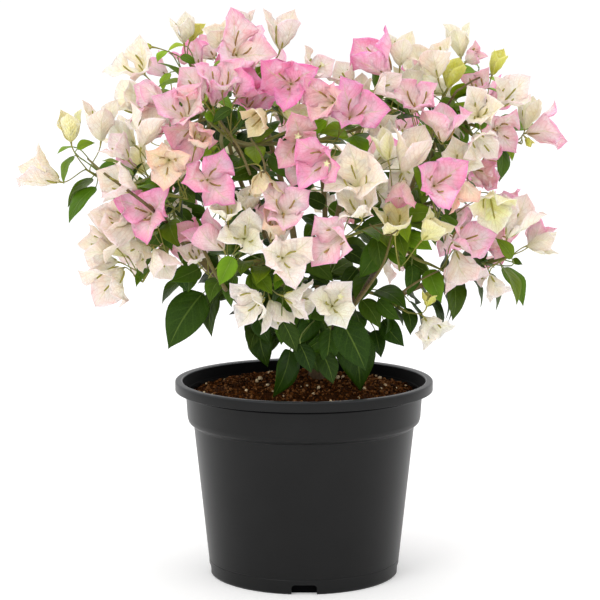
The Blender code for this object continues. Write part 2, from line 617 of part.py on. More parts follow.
    def grow_whorl(self, name, bloom):
        """Places one whorl on its pedicel, bent, turned or shrunk until it is clear."""
        hub, axis, reach, opening, inward = bloom
        spin = self.draw.random() * math.tau
        start, end = self.sprays[name]["stalk"]
        fork = end + (start - end) * ((len(self.sprays[name]["whorls"]) * 0.19 + 0.08) % 0.9)
        for shrink in (1.0, 0.9, 0.8, 0.68):
            for push in (0.0, 0.008, -0.007, 0.016, 0.024, -0.014, 0.034):
                for turn in (0.0, 40.0, 80.0):
                    place = hub + inward * push
                    size = reach * shrink
                    verts, faces, foot = whorl(place, axis, spin + math.radians(turn), size, opening, ROOM)
                    if not self.space.clear(verts, faces):
                        continue
                    line = stalk_line(place, -axis, fork, 0.008)
                    inner = [line[0] - axis * 0.0026] + line[1:]
                    stem, stem_faces = prism(inner, PEDICEL_RADIUS + ROOM)
                    if not self.space.clear(stem, stem_faces, ("stem spray " + name,)):
                        continue
                    if BVHTree.FromPolygons(verts, faces).overlap(BVHTree.FromPolygons(stem, stem_faces)):
                        continue
                    self.space.keep("whorl", verts, faces)
                    self.space.keep("stem spray " + name, stem, stem_faces)
                    kept = (place, axis, spin + math.radians(turn), size, opening, line)
                    self.sprays[name]["whorls"].append(kept)
                    return
        self.left_out.append("whorl of " + name)

    def place_leaf(self, limb, foot, base, tip, facing):
        """Places one leaf, rolled, swung or shrunk until it is clear; says whether it was."""
        along = (tip - base).normalized()
        if (foot - base).normalized().dot(along) > 0.3:
            return False
        side = along.cross(facing).normalized()
        line = stalk_line(base, -along, foot, 0.004)
        for shrink in (1.0, 0.85, 0.7):
            for swing in (0.0, 0.25, -0.25, 0.5, -0.5):
                for roll in (0.0, 0.5, -0.5):
                    end = base + (Matrix.Rotation(swing, 3, side) @ (tip - base)) * shrink
                    turned_up = Matrix.Rotation(roll, 3, along) @ facing
                    verts, faces, root, leaving = leaf_blade(base, end, turned_up, ROOM)
                    if not self.space.clear(verts, faces):
                        continue
                    if not self.space.clear(*prism(line, PETIOLE_HALF + ROOM), ("stem " + limb,)):
                        continue
                    stem, stem_faces = prism([base + leaving * 0.002] + line[1:], PETIOLE_HALF + ROOM)
                    if BVHTree.FromPolygons(verts, faces).overlap(BVHTree.FromPolygons(stem, stem_faces)):
                        continue
                    self.space.keep("leaf", verts, faces)
                    self.space.keep("stem " + limb, stem, stem_faces)
                    self.leaves[limb].append((line, end, turned_up))
                    return True
        return False

    def grow_front_leaf(self, leaf):
        """Places a leaf of the front on the stem that passes nearest to its foot."""
        options = []
        for limb, place, growth in self.stations:
            base = seen(leaf.x, leaf.y, place.y - 0.004)
            options.append(((base - place).length, limb, place))
        options.sort(key=lambda option: option[0])
        for distance, limb, place in options[:6]:
            base = seen(leaf.x, leaf.y, place.y - 0.004)
            if (base - place).length < 0.004:
                base = base + Vector((0.0, -0.005, 0.0))
            tip = seen(leaf.tip_x, leaf.tip_y, base.y - 0.010)
            facing = (outward(base) + Vector((0.0, -0.5, 0.6))).normalized()
            if self.place_leaf(limb, place, base, tip, facing):
                return
        self.left_out.append("leaf %d %d" % (leaf.x, leaf.y))

    def grow_round_leaves(self):
        """Places leaves along every limb and twig, alternately to both sides."""
        for number, (limb, place, growth) in enumerate(list(self.stations)):
            if number % 3 or place.z < 0.225:
                continue
            side = growth.cross(outward(place)).normalized() * (1 if number % 2 else -1)
            way = (side + outward(place) * 0.8 + Vector((0.0, 0.0, self.draw.uniform(-0.5, 0.4)))).normalized()
            length = self.draw.uniform(0.026, 0.040)
            base = place + way * self.draw.uniform(0.007, 0.012)
            droop = (way + Vector((0.0, 0.0, -0.45))).normalized()
            facing = (Vector((0.0, 0.0, 1.0)) + outward(place)).normalized()
            self.place_leaf(limb, place, base, base + droop * length, facing)


def new_object(name, mesh, collection):
    """Links a mesh as a new object."""
    thing = bpy.data.objects.new(name, mesh)
    collection.objects.link(thing)
    return thing


def mesh_from(name, verts, faces):
    """Closed mesh from vertices and faces, with its faces turned outward."""
    mesh = bpy.data.meshes.new(name)
    shape = bmesh.new()
    points = [shape.verts.new(vert) for vert in verts]
    for face in faces:
        shape.faces.new([points[index] for index in face])
    bmesh.ops.recalc_face_normals(shape, faces=shape.faces)
    shape.to_mesh(mesh)
    shape.free()
    return mesh


def tube(name, line, radii, resolution, collection):
    """Round stem along a line, tapering as the radii say, as a closed mesh object."""
    curve = bpy.data.curves.new(name, "CURVE")
    curve.dimensions = "3D"
    curve.bevel_depth = 1.0
    curve.bevel_resolution = resolution
    curve.use_fill_caps = True
    curve.twist_mode = "MINIMUM"
    spline = curve.splines.new("POLY")
    spline.points.add(len(line) - 1)
    for point, place, radius in zip(spline.points, line, radii):
        point.co = (*place, 1.0)
        point.radius = radius
    shape = new_object(name + "_line", curve, collection)
    bpy.context.view_layer.update()
    solid = shape.evaluated_get(bpy.context.evaluated_depsgraph_get())
    mesh = bpy.data.meshes.new_from_object(solid)
    welded = bmesh.new()
    welded.from_mesh(mesh)
    bmesh.ops.remove_doubles(welded, verts=welded.verts, dist=0.00001)
    bmesh.ops.recalc_face_normals(welded, faces=welded.faces)
    welded.to_mesh(mesh)
    welded.free()
    bpy.data.objects.remove(shape, do_unlink=True)
    bpy.data.curves.remove(curve)
    return new_object(name, mesh, collection)


def taper(first, last, count):
    """Evenly changing radii."""
    return [first + (last - first) * index / (count - 1) for index in range(count)]


def fuse(base, extras, solver="EXACT"):
    """Joins the extras to the base with one Boolean union, then removes them."""
    holder = bpy.data.collections.new(base.name + "_growth")
    bpy.context.scene.collection.children.link(holder)
    for extra in extras:
        for owner in list(extra.users_collection):
            owner.objects.unlink(extra)
        holder.objects.link(extra)
    joint = base.modifiers.new("Growth", "BOOLEAN")
    joint.operation = "UNION"
    joint.solver = solver
    joint.operand_type = "COLLECTION"
    joint.collection = holder
    bpy.context.view_layer.update()
    solid = base.evaluated_get(bpy.context.evaluated_depsgraph_get())
    joined = bpy.data.meshes.new_from_object(solid)
    base.modifiers.clear()
    base.data = joined
    for extra in list(holder.objects):
        bpy.data.objects.remove(extra, do_unlink=True)
    bpy.data.collections.remove(holder)
    keep_main_body(joined)


def keep_main_body(mesh):
    """Drops loose scraps, so that the mesh is one body."""
    shape = bmesh.new()
    shape.from_mesh(mesh)
    seen_verts = set()
    bodies = []
    for vert in shape.verts:
        if vert in seen_verts:
            continue
        body = [vert]
        seen_verts.add(vert)
        for member in body:
            for edge in member.link_edges:
                other = edge.other_vert(member)
                if other not in seen_verts:
                    seen_verts.add(other)
                    body.append(other)
        bodies.append(body)
    bodies.sort(key=len, reverse=True)
    for body in bodies[1:]:
        bmesh.ops.delete(shape, geom=body, context="VERTS")
    shape.to_mesh(mesh)
    shape.free()


def finish_with(thing, finish):
    """Gives an object its own Principled material."""
    colour, roughness, metallic = FINISHES[finish]
    material = bpy.data.materials.new(thing.name)
    material.use_nodes = True
    shader = material.node_tree.nodes["Principled BSDF"]
    shader.inputs["Base Color"].default_value = (*colour, 1.0)
    shader.inputs["Roughness"].default_value = roughness
    shader.inputs["Metallic"].default_value = metallic
    thing.data.materials.clear()
    thing.data.materials.append(material)


def turned(name, profile, sides, collection):
    """Solid of revolution about Z from a profile of radius and height."""
    mesh = bpy.data.meshes.new(name)
    edges = [(index, index + 1) for index in range(len(profile) - 1)]
    mesh.from_pydata([(radius, 0.0, height) for radius, height in profile], edges, [])
    thing = new_object(name, mesh, collection)
    screw = thing.modifiers.new("Turn", "SCREW")
    screw.angle = math.tau
    screw.steps = sides
    screw.render_steps = sides
    screw.use_merge_vertices = True
    screw.merge_threshold = 0.00001
    return thing


def wall_radius(height):
    """Outer radius of the pot's tapering body."""
    share = (height - 0.012) / (COLLAR_FOOT - 0.0035 - 0.012)
    return 0.0929 + (BODY_TOP_RADIUS - 0.0929) * share


def build_pot(parts, cutters):
    """Pot: one moulded shell with a turned-down lip, a stepped collar and four drain slots."""
    lip = POT_HEIGHT
    skirt = lip - LIP_DEPTH
    profile = (
        (0.0, FLOOR_TOP), (FOOT_RADIUS - 0.0015, FLOOR_TOP), (BODY_TOP_RADIUS - LIP_WALL, COLLAR_FOOT - 0.003),
        (0.1108, COLLAR_FOOT + 0.0015), (0.1130, 0.1785), (0.1182, lip),
        (LIP_RADIUS - 0.0012, lip), (LIP_RADIUS, lip - 0.0014), (LIP_RADIUS, skirt),
        (LIP_RADIUS - LIP_WALL, skirt), (LIP_RADIUS - LIP_WALL, lip - 0.0026), (0.1202, lip - 0.0026),
        (0.1147, 0.1765), (0.1132, COLLAR_FOOT + 0.004), (0.1120, COLLAR_FOOT),
        (BODY_TOP_RADIUS, COLLAR_FOOT - 0.0035), (wall_radius(0.012), 0.012), (FOOT_RADIUS + 0.0016, 0.002),
        (FOOT_RADIUS, 0.0), (FOOT_RADIUS - FOOT_WIDTH, 0.0), (FOOT_RADIUS - FOOT_WIDTH - 0.002, 0.0028),
        (0.0530, 0.0028), (0.0500, 0.0), (0.0, 0.0),
    )
    pot = turned("pot", profile, POT_SIDES, parts)
    for number in range(4):
        mesh = bpy.data.meshes.new("slot")
        block = bmesh.new()
        bmesh.ops.create_cube(block, size=1.0)
        bmesh.ops.scale(block, verts=block.verts, vec=(SLOT_REACH, SLOT_WIDTH, 2 * SLOT_HEIGHT))
        block.to_mesh(mesh)
        block.free()
        slot = new_object("slot_%d" % (number + 1), mesh, cutters)
        turn = math.pi / 2 * number
        slot.location = (FOOT_RADIUS * math.cos(turn), FOOT_RADIUS * math.sin(turn), 0.0)
        slot.rotation_euler = (0.0, 0.0, turn)
        slot.hide_render = True
        slot.display_type = "WIRE"
        cut = pot.modifiers.new("Slot", "BOOLEAN")
        cut.operation = "DIFFERENCE"
        cut.solver = "EXACT"
        cut.object = slot
    pot.data.shade_smooth()
    finish_with(pot, "pot")
    return pot


def build_soil(parts, cutters):
    """Soil: fills the pot to just under the lip, mounded and rough on top, with a hole for the stem."""
    inset = LIP_WALL + GAP * 3
    rings = [0.0, 0.38, 0.72, 1.0]
    rim = wall_radius(0.147) - inset + 0.0045
    draw = random.Random(SEED)
    verts = []
    faces = []
    for ring in rings:
        count = 1 if ring == 0.0 else POT_SIDES
        for side in range(count):
            turn = math.tau * side / POT_SIDES
            height = SOIL_RIM + SOIL_MOUND * (1.0 - ring ** 2) + draw.uniform(-1, 1) * SOIL_RELIEF
            radius = rim * ring
            verts.append((radius * math.cos(turn), radius * math.sin(turn), height))
    for radius, height in ((rim - 0.0006, 0.1530), (wall_radius(0.147) - inset, 0.1465),
                           (wall_radius(0.012) - inset - 0.0012, FLOOR_TOP + GAP)):
        for side in range(POT_SIDES):
            turn = math.tau * side / POT_SIDES
            verts.append((radius * math.cos(turn), radius * math.sin(turn), height))
    for side in range(POT_SIDES):
        after = (side + 1) % POT_SIDES
        faces.append((0, 1 + side, 1 + after))
        for level in range(len(rings) + 1):
            a = 1 + level * POT_SIDES
            b = a + POT_SIDES
            faces.append((a + side, b + side, b + after))
            faces.append((a + side, b + after, a + after))
    last = 1 + (len(rings) + 1) * POT_SIDES
    faces.append(tuple(range(last, last + POT_SIDES))[::-1])
    soil = new_object("soil", mesh_from("soil", verts, faces), parts)
    mesh = bpy.data.meshes.new("stem_hole")
    block = bmesh.new()
    depth = POT_HEIGHT - STEM_FOOT + GAP
    bmesh.ops.create_cone(block, cap_ends=True, segments=12, radius1=STEM_RADIUS + GAP * 3,
                          radius2=STEM_RADIUS + GAP * 3, depth=depth)
    block.to_mesh(mesh)
    block.free()
    hole = new_object("stem_hole", mesh, cutters)
    hole.location = (STEM_X, 0.0, STEM_FOOT - GAP + depth / 2)
    hole.hide_render = True
    hole.display_type = "WIRE"
    cut = soil.modifiers.new("Hole", "BOOLEAN")
    cut.operation = "DIFFERENCE"
    cut.solver = "EXACT"
    cut.object = hole
    finish_with(soil, "soil")
    return soil


def build_trunk(plant, parts):
    """Trunk: the short woody stem with the stub of each limb."""
    foot = Vector((STEM_X, 0.0, STEM_FOOT))
    top = Vector((STEM_X, 0.0, FORK_HIGH + 0.004))
    line = [foot, foot.lerp(top, 0.5), foot.lerp(top, 0.86), top]
    trunk = tube("trunk", line, (STEM_RADIUS, STEM_RADIUS * 0.96, STEM_RADIUS * 0.85, STEM_RADIUS * 0.6), 2, parts)
    stubs = []
    for index, (fork, end) in enumerate(plant.stubs):
        stubs.append(tube("stub_%02d" % index, [fork, end], (LIMB_RADIUS, LIMB_RADIUS), 1, parts))
    fuse(trunk, stubs)
    finish_with(trunk, "trunk")
    return trunk


def build_limb(plant, name, parts):
    """Limb: one arching stem with its twigs and leaves."""
    line = plant.limbs[name]
    limb = tube("limb_" + name, line, taper(LIMB_RADIUS, LIMB_TIP_RADIUS, len(line)), 1, parts)
    extras = []
    for index, twig in enumerate(plant.twigs[name]):
        extras.append(tube("twig_%s_%02d" % (name, index), twig, taper(TWIG_RADIUS, STALK_RADIUS, len(twig)), 0, parts))
    for index, (petiole, tip, facing) in enumerate(plant.leaves[name]):
        verts, faces, foot, leaving = leaf_blade(petiole[0], tip, facing)
        add_stalk(verts, faces, foot, leaving, petiole, PETIOLE_END)
        extras.append(new_object("leaf_%s_%02d" % (name, index), mesh_from("leaf", verts, faces), parts))
    fuse(limb, extras)
    finish_with(limb, "limb")
    return limb


def build_spray(plant, name, parts):
    """Spray: a stalk that forks into pedicels, each with its whorl of bracts."""
    spray = plant.sprays[name]
    stalk = tube("spray_" + name, spray["stalk"], (STALK_RADIUS, STALK_RADIUS), 0, parts)
    extras = []
    for index, (hub, axis, spin, reach, opening, line) in enumerate(spray["whorls"]):
        verts, faces, foot = whorl(hub, axis, spin, reach, opening)
        add_stalk(verts, faces, foot, -axis, line, PEDICEL_RADIUS)
        extras.append(new_object("whorl_%s_%02d" % (name, index), mesh_from("whorl", verts, faces), parts))
    fuse(stalk, extras)
    finish_with(stalk, spray["tint"])
    return stalk


def main():
    """Clears the scene and builds every piece."""
    for thing in list(bpy.data.objects):
        bpy.data.objects.remove(thing, do_unlink=True)
    parts = bpy.data.collections.new("potted_bougainvillea")
    cutters = bpy.data.collections.new("cutters")
    bpy.context.scene.collection.children.link(parts)
    bpy.context.scene.collection.children.link(cutters)
    plant = Plant()
    plant.grow()
    build_pot(parts, cutters)
    build_soil(parts, cutters)
    build_trunk(plant, parts)
    for name in LIMBS:
        build_limb(plant, name, parts)
    for name in plant.sprays:
        build_spray(plant, name, parts)
    print("found no room for:", ", ".join(plant.left_out) or "nothing")


main()
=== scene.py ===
"""Potted bougainvillea: the looks of a bushy plant in bloom, in a black nursery pot.

The stems, whorls and leaves follow the same layout rule as the solids that they stand for,
and the finer blades, veins, flower tubes, soil crumbs and perlite are built on top of it.
Metres, +Z up, +X to the right and +Y away from whoever looks at the front of the plant.
"""

from __future__ import annotations

import logging
import random
from dataclasses import dataclass, field
from enum import Enum
from itertools import product
from math import cos, hypot, pi, radians, sin, sqrt, tau
from typing import NamedTuple, Sequence

import bmesh
import bpy
import numpy as np
from mathutils import Matrix, Vector, noise
from mathutils.bvhtree import BVHTree

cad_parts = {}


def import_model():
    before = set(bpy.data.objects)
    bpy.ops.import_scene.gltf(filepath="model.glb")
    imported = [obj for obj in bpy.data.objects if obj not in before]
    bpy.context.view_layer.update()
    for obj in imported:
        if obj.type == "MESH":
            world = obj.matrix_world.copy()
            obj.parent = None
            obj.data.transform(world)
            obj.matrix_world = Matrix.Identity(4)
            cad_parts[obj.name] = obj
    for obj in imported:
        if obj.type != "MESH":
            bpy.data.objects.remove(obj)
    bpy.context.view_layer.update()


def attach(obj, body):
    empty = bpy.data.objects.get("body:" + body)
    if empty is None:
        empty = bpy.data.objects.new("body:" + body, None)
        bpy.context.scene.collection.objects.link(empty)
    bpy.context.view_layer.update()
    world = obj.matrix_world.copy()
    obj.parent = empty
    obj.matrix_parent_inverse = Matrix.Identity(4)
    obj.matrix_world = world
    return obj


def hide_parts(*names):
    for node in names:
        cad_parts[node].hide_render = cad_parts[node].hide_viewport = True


LOG = logging.getLogger("potted_bougainvillea")
BODY = "root"
UP = Vector((0, 0, 1))
SQUARE = ((-1, -1), (1, -1), (1, 1), (-1, 1))

# Pot
POT_HEIGHT = 0.190
LIP_RADIUS = 0.125
SOIL_RIM = 0.176
SOIL_MOUND = 0.009

# Woody stem
STEM_X = 0.012
STEM_FOOT = 0.100
STEM_RADIUS = 0.0085
FORK_LOW = 0.200
FORK_HIGH = 0.226
STUB_LENGTH = 0.026
LIMB_RADIUS = 0.0034
LIMB_TIP_RADIUS = 0.0018
TWIG_RADIUS = 0.0017
TWIG_POINTS = 3
STALK_RADIUS = 0.0014
STALK_LENGTH = 0.014

# Whorls of bracts and leaves, as the solids have them
HUB_RADIUS = 0.0018
BRACT_THICKNESS = 0.0008
BRACT_WIDTH = 0.80
BRACT_FOLD = 0.26
TUBE_SHARE = 0.42
PEDICEL_RADIUS = 0.00055
FULL_REACH = 0.042
FULL_OPENING = 44
FULL_LEAF_LENGTH = 0.040
LEAF_THICKNESS = 0.0009
LEAF_WIDTH = 0.60
PETIOLE_HALF = 0.0009
FULL_BRACT = ((0.30, 0.42, -0.06), (0.66, 0.40, -0.05))
LEAN_BRACT = ((0.46, 0.46, -0.06),)
FULL_LEAF = ((0.20, 0.42, 0.02), (0.55, 0.36, 0.04))
LEAN_LEAF = ((0.36, 0.46, 0.03),)

# Crown as an egg, whose skin the whorls lie on
CROWN_MIDDLE = Vector((-0.012, 0, 0.372))
CROWN_HALF = Vector((0.265, 0.205, 0.188))
ROUND_HALF = Vector((0.235, 0.190, 0.140))

# Front view that the places on the plant's front are given in: pixels of a 600 pixel square
VIEW_PLACE = Vector((-0.0039, -2.0126, 0.5468))
VIEW_PITCH = 0.138
VIEW_RIGHT = Vector((1, 0, 0))
VIEW_AHEAD = Vector((0, cos(VIEW_PITCH), -sin(VIEW_PITCH)))
VIEW_UP = Vector((0, sin(VIEW_PITCH), cos(VIEW_PITCH)))
VIEW_FOCAL = 2103.6
VIEW_MIDDLE = 300

# The crown's outline in that view: middle and half sizes; the dip in its top: middle, half width and foot
OUTLINE = (310, 172, 178, 120)
DIP = (322, 46, 116)

# Clearance between neighbours, and the extra room that a piece is tested with
GAP = 0.0003
ROOM = 0.0007
SEED = 7
ROUND_BLOOMS = 52
ROUND_SPRAYS = 15


class Tint(Enum):
    """Colours of a bract near its foot and at its margin."""

    PINK = ((249, 226, 219), (242, 171, 199))
    VIVID = ((247, 202, 211), (238, 141, 189))
    MAGENTA = ((242, 178, 201), (231, 124, 178))
    PALE = ((248, 241, 219), (248, 219, 217))
    BLUSH = ((247, 240, 208), (248, 225, 215))
    CREAM = ((244, 240, 204), (249, 236, 222))
    WHITE = ((244, 240, 210), (249, 236, 227))
    YOUNG = ((204, 208, 84), (230, 228, 138))
    BUTTER = ((235, 232, 156), (245, 240, 198))
    PEACH = ((248, 226, 198), (244, 186, 172))
    TAN = ((228, 208, 162), (238, 218, 182))
    DUSKY = ((238, 205, 197), (227, 155, 180))
    GREENISH = ((226, 226, 156), (244, 238, 210))


PINK, VIVID, MAGENTA, PALE, BLUSH, CREAM, WHITE, YOUNG, BUTTER, PEACH, TAN, DUSKY, GREENISH = Tint


# A whorl's row in the tables, and the types that many pieces share
Row = tuple[float, float, float, float, float, float, Tint]
Place = tuple[float, float, float]
Colour = tuple[int, int, int]
Line = Sequence[Vector]
Points = list[Vector]
Solid = tuple[Points, list[tuple[int, ...]]]
Array = np.ndarray
Socket = bpy.types.NodeSocket
Material = bpy.types.Material
Piece = bpy.types.Object

# Limbs: x and y in the front view, then how far behind the pot's axis in millimetres
LIMBS: dict[str, tuple[Place, ...]] = {
    "left": ((268, 318, -35), (240, 302, -55), (205, 265, -70), (172, 225, -60), (130, 192, -30), (98, 171, -10)),
    "left_back": ((262, 312, 40), (225, 280, 80), (180, 240, 100), (150, 190, 95)),
    "upper_left": ((290, 285, -15), (262, 215, -25), (244, 160, -35), (215, 115, -30), (192, 72, -5)),
    "upper_middle": ((300, 280, -45), (290, 215, -80), (274, 155, -85), (264, 115, -60), (264, 84, -20)),
    "upper_right": ((325, 280, -25), (338, 215, -60), (352, 150, -70), (368, 110, -40), (384, 86, -10)),
    "right": ((342, 316, -45), (362, 290, -65), (385, 255, -85), (402, 215, -88), (420, 165, -70), (436, 120, -40),
              (462, 92, -12)),
    "right_low": ((345, 326, -8), (385, 302, -22), (420, 286, -28), (458, 272, -22), (498, 258, -5)),
    "back_right": ((340, 300, 50), (375, 250, 100), (410, 200, 125), (430, 150, 110)),
    "back_left": ((290, 295, 60), (265, 235, 110), (240, 180, 125), (225, 130, 100)),
    "back_middle": ((318, 285, 55), (325, 220, 110), (320, 160, 135), (312, 115, 110)),
    "front": ((306, 322, -60), (296, 298, -100), (288, 275, -130), (284, 258, -145)),
}

# Sprays of the front: where the stalk forks, the material slot, and for each whorl its foot, the way that it
# faces (right, down), the length of its bracts in millimetres, how far they open in degrees, and their tint
SPRAYS: tuple[tuple[str, float, float, str, tuple[Row, ...]], ...] = (
    ("far_left", 88, 168, "cream", ((60, 182, -0.9, -0.5, 42, 34, BLUSH), (71, 142, -0.02, -1, 33, 22, BUTTER),
     (101, 141, 0.05, -1, 40, 28, BLUSH))),
    ("upper_left_tip", 186, 58, "cream", ((184, 43, -0.1, -1, 28, 25, CREAM), (190, 41, 0.5, -1, 22, 25, YOUNG),
     (152, 47, -1, -0.1, 15, 20, YOUNG))),
    ("left_shoulder", 172, 92, "pink", ((144, 74, -0.45, -0.6, 38, 50, BLUSH), (165, 105, -1, -0.3, 34, 40, PINK))),
    ("left_high", 138, 172, "cream", ((141, 147, 0.35, -1, 42, 30, BLUSH), (128, 160, -0.6, -0.8, 30, 35, PALE))),
    ("left_middle", 172, 190, "peach", ((169, 160, 0, 0.15, 31, 54, PEACH), (178, 180, 0.2, -1, 32, 30, PEACH),
     (137, 190, -0.8, -0.4, 40, 35, PALE))),
    ("left_pink", 222, 125, "pink", ((203, 100, -0.5, -0.7, 34, 40, PINK), (213, 106, 0.1, -1, 38, 35, VIVID),
     (237, 97, 0.7, -0.7, 32, 45, MAGENTA))),
    ("left_inner", 226, 158, "pink", ((200, 128, -0.35, 0.5, 34, 60, DUSKY), (207, 180, 0.35, -0.2, 36, 60, VIVID),
     (262, 170, 0.2, 1, 28, 40, TAN))),
    ("crown_top", 252, 74, "pink", ((236, 55, 0.3, -0.5, 42, 60, PINK), (230, 52, -0.6, -1, 32, 30, BLUSH),
     (243, 32, 0, -1, 24, 30, PALE), (280, 50, 0.1, -1, 40, 30, PALE))),
    ("crown_middle", 284, 122, "pink", ((291, 84, -0.1, -0.15, 37, 58, MAGENTA), (305, 76, 0.6, -0.6, 30, 40, PALE),
     (265, 112, -0.6, 0.5, 26, 40, TAN), (281, 108, 1, 0.4, 30, 30, GREENISH))),
    ("heart_high", 326, 135, "pink", ((298, 141, 0.1, 0.1, 34, 60, DUSKY), (333, 103, -0.5, -0.3, 32, 45, DUSKY),
     (350, 118, 0.2, -0.5, 40, 55, VIVID), (330, 158, -0.5, 0.1, 40, 50, VIVID))),
    ("right_high", 384, 106, "pink", ((390, 75, -0.7, -0.9, 47, 36, VIVID), (352, 88, -0.5, -0.8, 30, 35, PALE),
     (365, 98, -0.2, -1, 22, 30, CREAM), (374, 92, 0.8, -0.3, 28, 35, PALE), (400, 66, 0, -1, 34, 28, CREAM),
     (372, 115, 0.7, 0.7, 26, 50, CREAM))),
    ("right_peak", 446, 92, "cream", ((438, 78, -0.2, -1, 40, 40, BLUSH), (461, 57, -0.2, -1, 34, 25, CREAM),
     (466, 62, 0.6, -0.6, 22, 30, PINK))),
    ("right_tip", 474, 108, "cream", ((492, 75, 0.4, -1, 26, 20, YOUNG), (500, 105, 0.4, -0.6, 36, 40, PALE),
     (480, 95, -0.3, -0.8, 28, 40, PINK))),
    ("right_shoulder", 432, 132, "pink", ((417, 110, -0.1, -0.7, 34, 45, PINK), (443, 142, 0.1, -1, 40, 45, PINK))),
    ("right_cream", 487, 142, "cream", ((478, 117, 0, -0.5, 32, 50, CREAM), (475, 135, 0.3, 0.5, 30, 45, PALE),
     (497, 128, 0.3, 0.1, 30, 60, PINK))),
    ("right_far", 516, 134, "pink", ((526, 133, 1, -0.25, 40, 36, PINK), (526, 138, 0.6, 0.8, 10, 20, YOUNG))),
    ("middle_bud", 396, 197, "cream", ((402, 173, 0.35, -1, 46, 28, BLUSH), (388, 160, -0.3, -1, 30, 20, GREENISH),
     (404, 180, -0.2, 1, 28, 35, DUSKY))),
    ("right_front", 462, 190, "cream", ((458, 168, 0, -0.4, 32, 55, CREAM), (472, 167, 1, 0.1, 34, 50, DUSKY),
     (490, 195, 0.1, 0.6, 34, 60, GREENISH))),
    ("right_pink", 440, 208, "pink", ((434, 186, 0.3, -0.3, 36, 60, VIVID), (455, 178, 0.5, 1, 34, 35, PEACH))),
    ("middle_front", 354, 228, "cream", ((358, 188, -0.2, -0.6, 44, 55, BLUSH), (362, 217, -0.3, -0.7, 38, 45, CREAM),
     (343, 236, -0.5, 0.15, 40, 50, PINK))),
    ("middle_pink", 279, 243, "pink", ((283, 214, 0.1, -0.5, 36, 55, PINK), (271, 239, 0.25, -0.9, 38, 40, PEACH))),
    ("middle_cream", 240, 254, "cream", ((244, 239, 0, -0.35, 31, 56, WHITE), (228, 220, -0.1, -0.8, 26, 40, CREAM),
     (247, 212, 0.1, -1, 26, 40, CREAM))),
    ("low_white", 274, 284, "cream", ((282, 258, 0.3, -0.1, 35, 58, PALE), (262, 297, -0.6, 0.25, 35, 48, WHITE),
     (270, 300, 0.3, 1, 34, 35, WHITE), (284, 296, 1, 0.1, 34, 45, WHITE))),
    ("low_middle", 338, 318, "cream", ((332, 306, 0.1, -0.25, 34, 54, WHITE),)),
    ("left_dusky", 218, 268, "pink", ((224, 250, -0.7, -0.75, 40, 28, PINK), (203, 238, -0.7, -0.5, 28, 35, DUSKY))),
    ("left_bright", 160, 236, "pink", ((151, 214, -0.35, -0.25, 36, 65, VIVID), (142, 224, -1, 0.2, 50, 36, BLUSH),
     (150, 245, -0.7, 0.5, 34, 45, BLUSH), (154, 249, 0.5, 0.8, 32, 35, BLUSH))),
    ("left_low", 140, 267, "cream", ((123, 268, -0.6, 0.6, 46, 48, PALE), (127, 256, -0.8, -0.75, 30, 28, GREENISH))),
    ("right_yellow", 402, 251, "cream", ((395, 235, 0, -0.9, 34, 45, BUTTER), (422, 240, 0.7, -0.8, 32, 40, BUTTER))),
    ("right_low_pink", 438, 259, "pink", ((453, 242, 0.7, -0.35, 40, 50, PINK), (455, 250, 0.35, 0.9, 42, 40, PALE))),
    ("right_edge", 508, 256, "pink", ((507, 238, 0.45, -1, 44, 32, PALE), (527, 246, 1, -0.15, 30, 24, CREAM),
     (490, 275, 0.5, 0.9, 26, 35, WHITE), (486, 270, -0.6, 0.5, 18, 30, PALE))),
    ("low_right", 406, 306, "cream", ((424, 317, 0.5, 0.6, 32, 46, WHITE), (427, 306, 0.2, -1, 16, 30, YOUNG))),
)

# Leaves of the front: foot and tip of each blade
LEAVES: tuple[tuple[float, ...], ...] = (
    (73, 156, 62, 183), (96, 187, 66, 220), (99, 168, 123, 176), (75, 147, 57, 151), (76, 146, 94, 142),
    (136, 188, 170, 193), (173, 203, 168, 219), (168, 225, 157, 242), (198, 262, 176, 253), (181, 266, 187, 292),
    (180, 281, 160, 302), (203, 293, 167, 348), (216, 291, 209, 336), (233, 256, 219, 283), (227, 252, 229, 235),
    (237, 258, 262, 282), (256, 270, 272, 294), (205, 214, 178, 211), (166, 51, 157, 61), (184, 45, 168, 49),
    (180, 57, 195, 63), (169, 73, 162, 90), (232, 112, 213, 122), (252, 104, 238, 119), (243, 135, 247, 157),
    (270, 155, 310, 184), (257, 171, 231, 178), (240, 160, 221, 163), (254, 140, 273, 129), (262, 79, 268, 97),
    (347, 134, 316, 141), (403, 113, 386, 118), (474, 70, 453, 75), (479, 67, 465, 60), (490, 77, 511, 97),
    (453, 100, 436, 113), (456, 100, 475, 95), (505, 147, 513, 160), (431, 165, 442, 157), (470, 181, 474, 201),
    (398, 197, 378, 206), (383, 242, 361, 278), (405, 258, 431, 274), (388, 250, 408, 264), (406, 236, 432, 249),
    (377, 290, 415, 309), (452, 276, 456, 320), (378, 300, 399, 321), (362, 300, 380, 328), (383, 320, 404, 346),
    (375, 330, 382, 357), (406, 308, 412, 334), (357, 268, 340, 290), (330, 262, 312, 290), (258, 325, 266, 367),
    (290, 350, 275, 399), (312, 345, 318, 372), (345, 325, 361, 391), (318, 312, 296, 345), (330, 330, 300, 355),
    (502, 268, 526, 304), (511, 256, 494, 238), (502, 260, 489, 244), (512, 262, 523, 264), (310, 190, 285, 175),
    (325, 205, 300, 195), (318, 225, 300, 215), (330, 215, 345, 200), (320, 245, 300, 238), (335, 262, 318, 250),
    (310, 262, 330, 285), (300, 270, 285, 290), (350, 270, 330, 258), (280, 190, 262, 180), (340, 180, 330, 195),
)

# Whorls of the front whose small flowers are open
FLOWERING = ((200, 128), (305, 76), (330, 158), (332, 306), (298, 141))

# Tints of the sprays round the sides and back, by their material slot
ROUND_TINTS = (
    (PINK, PINK, PALE, VIVID, BLUSH, DUSKY),
    (CREAM, BLUSH, PALE, PINK, WHITE, GREENISH),
)

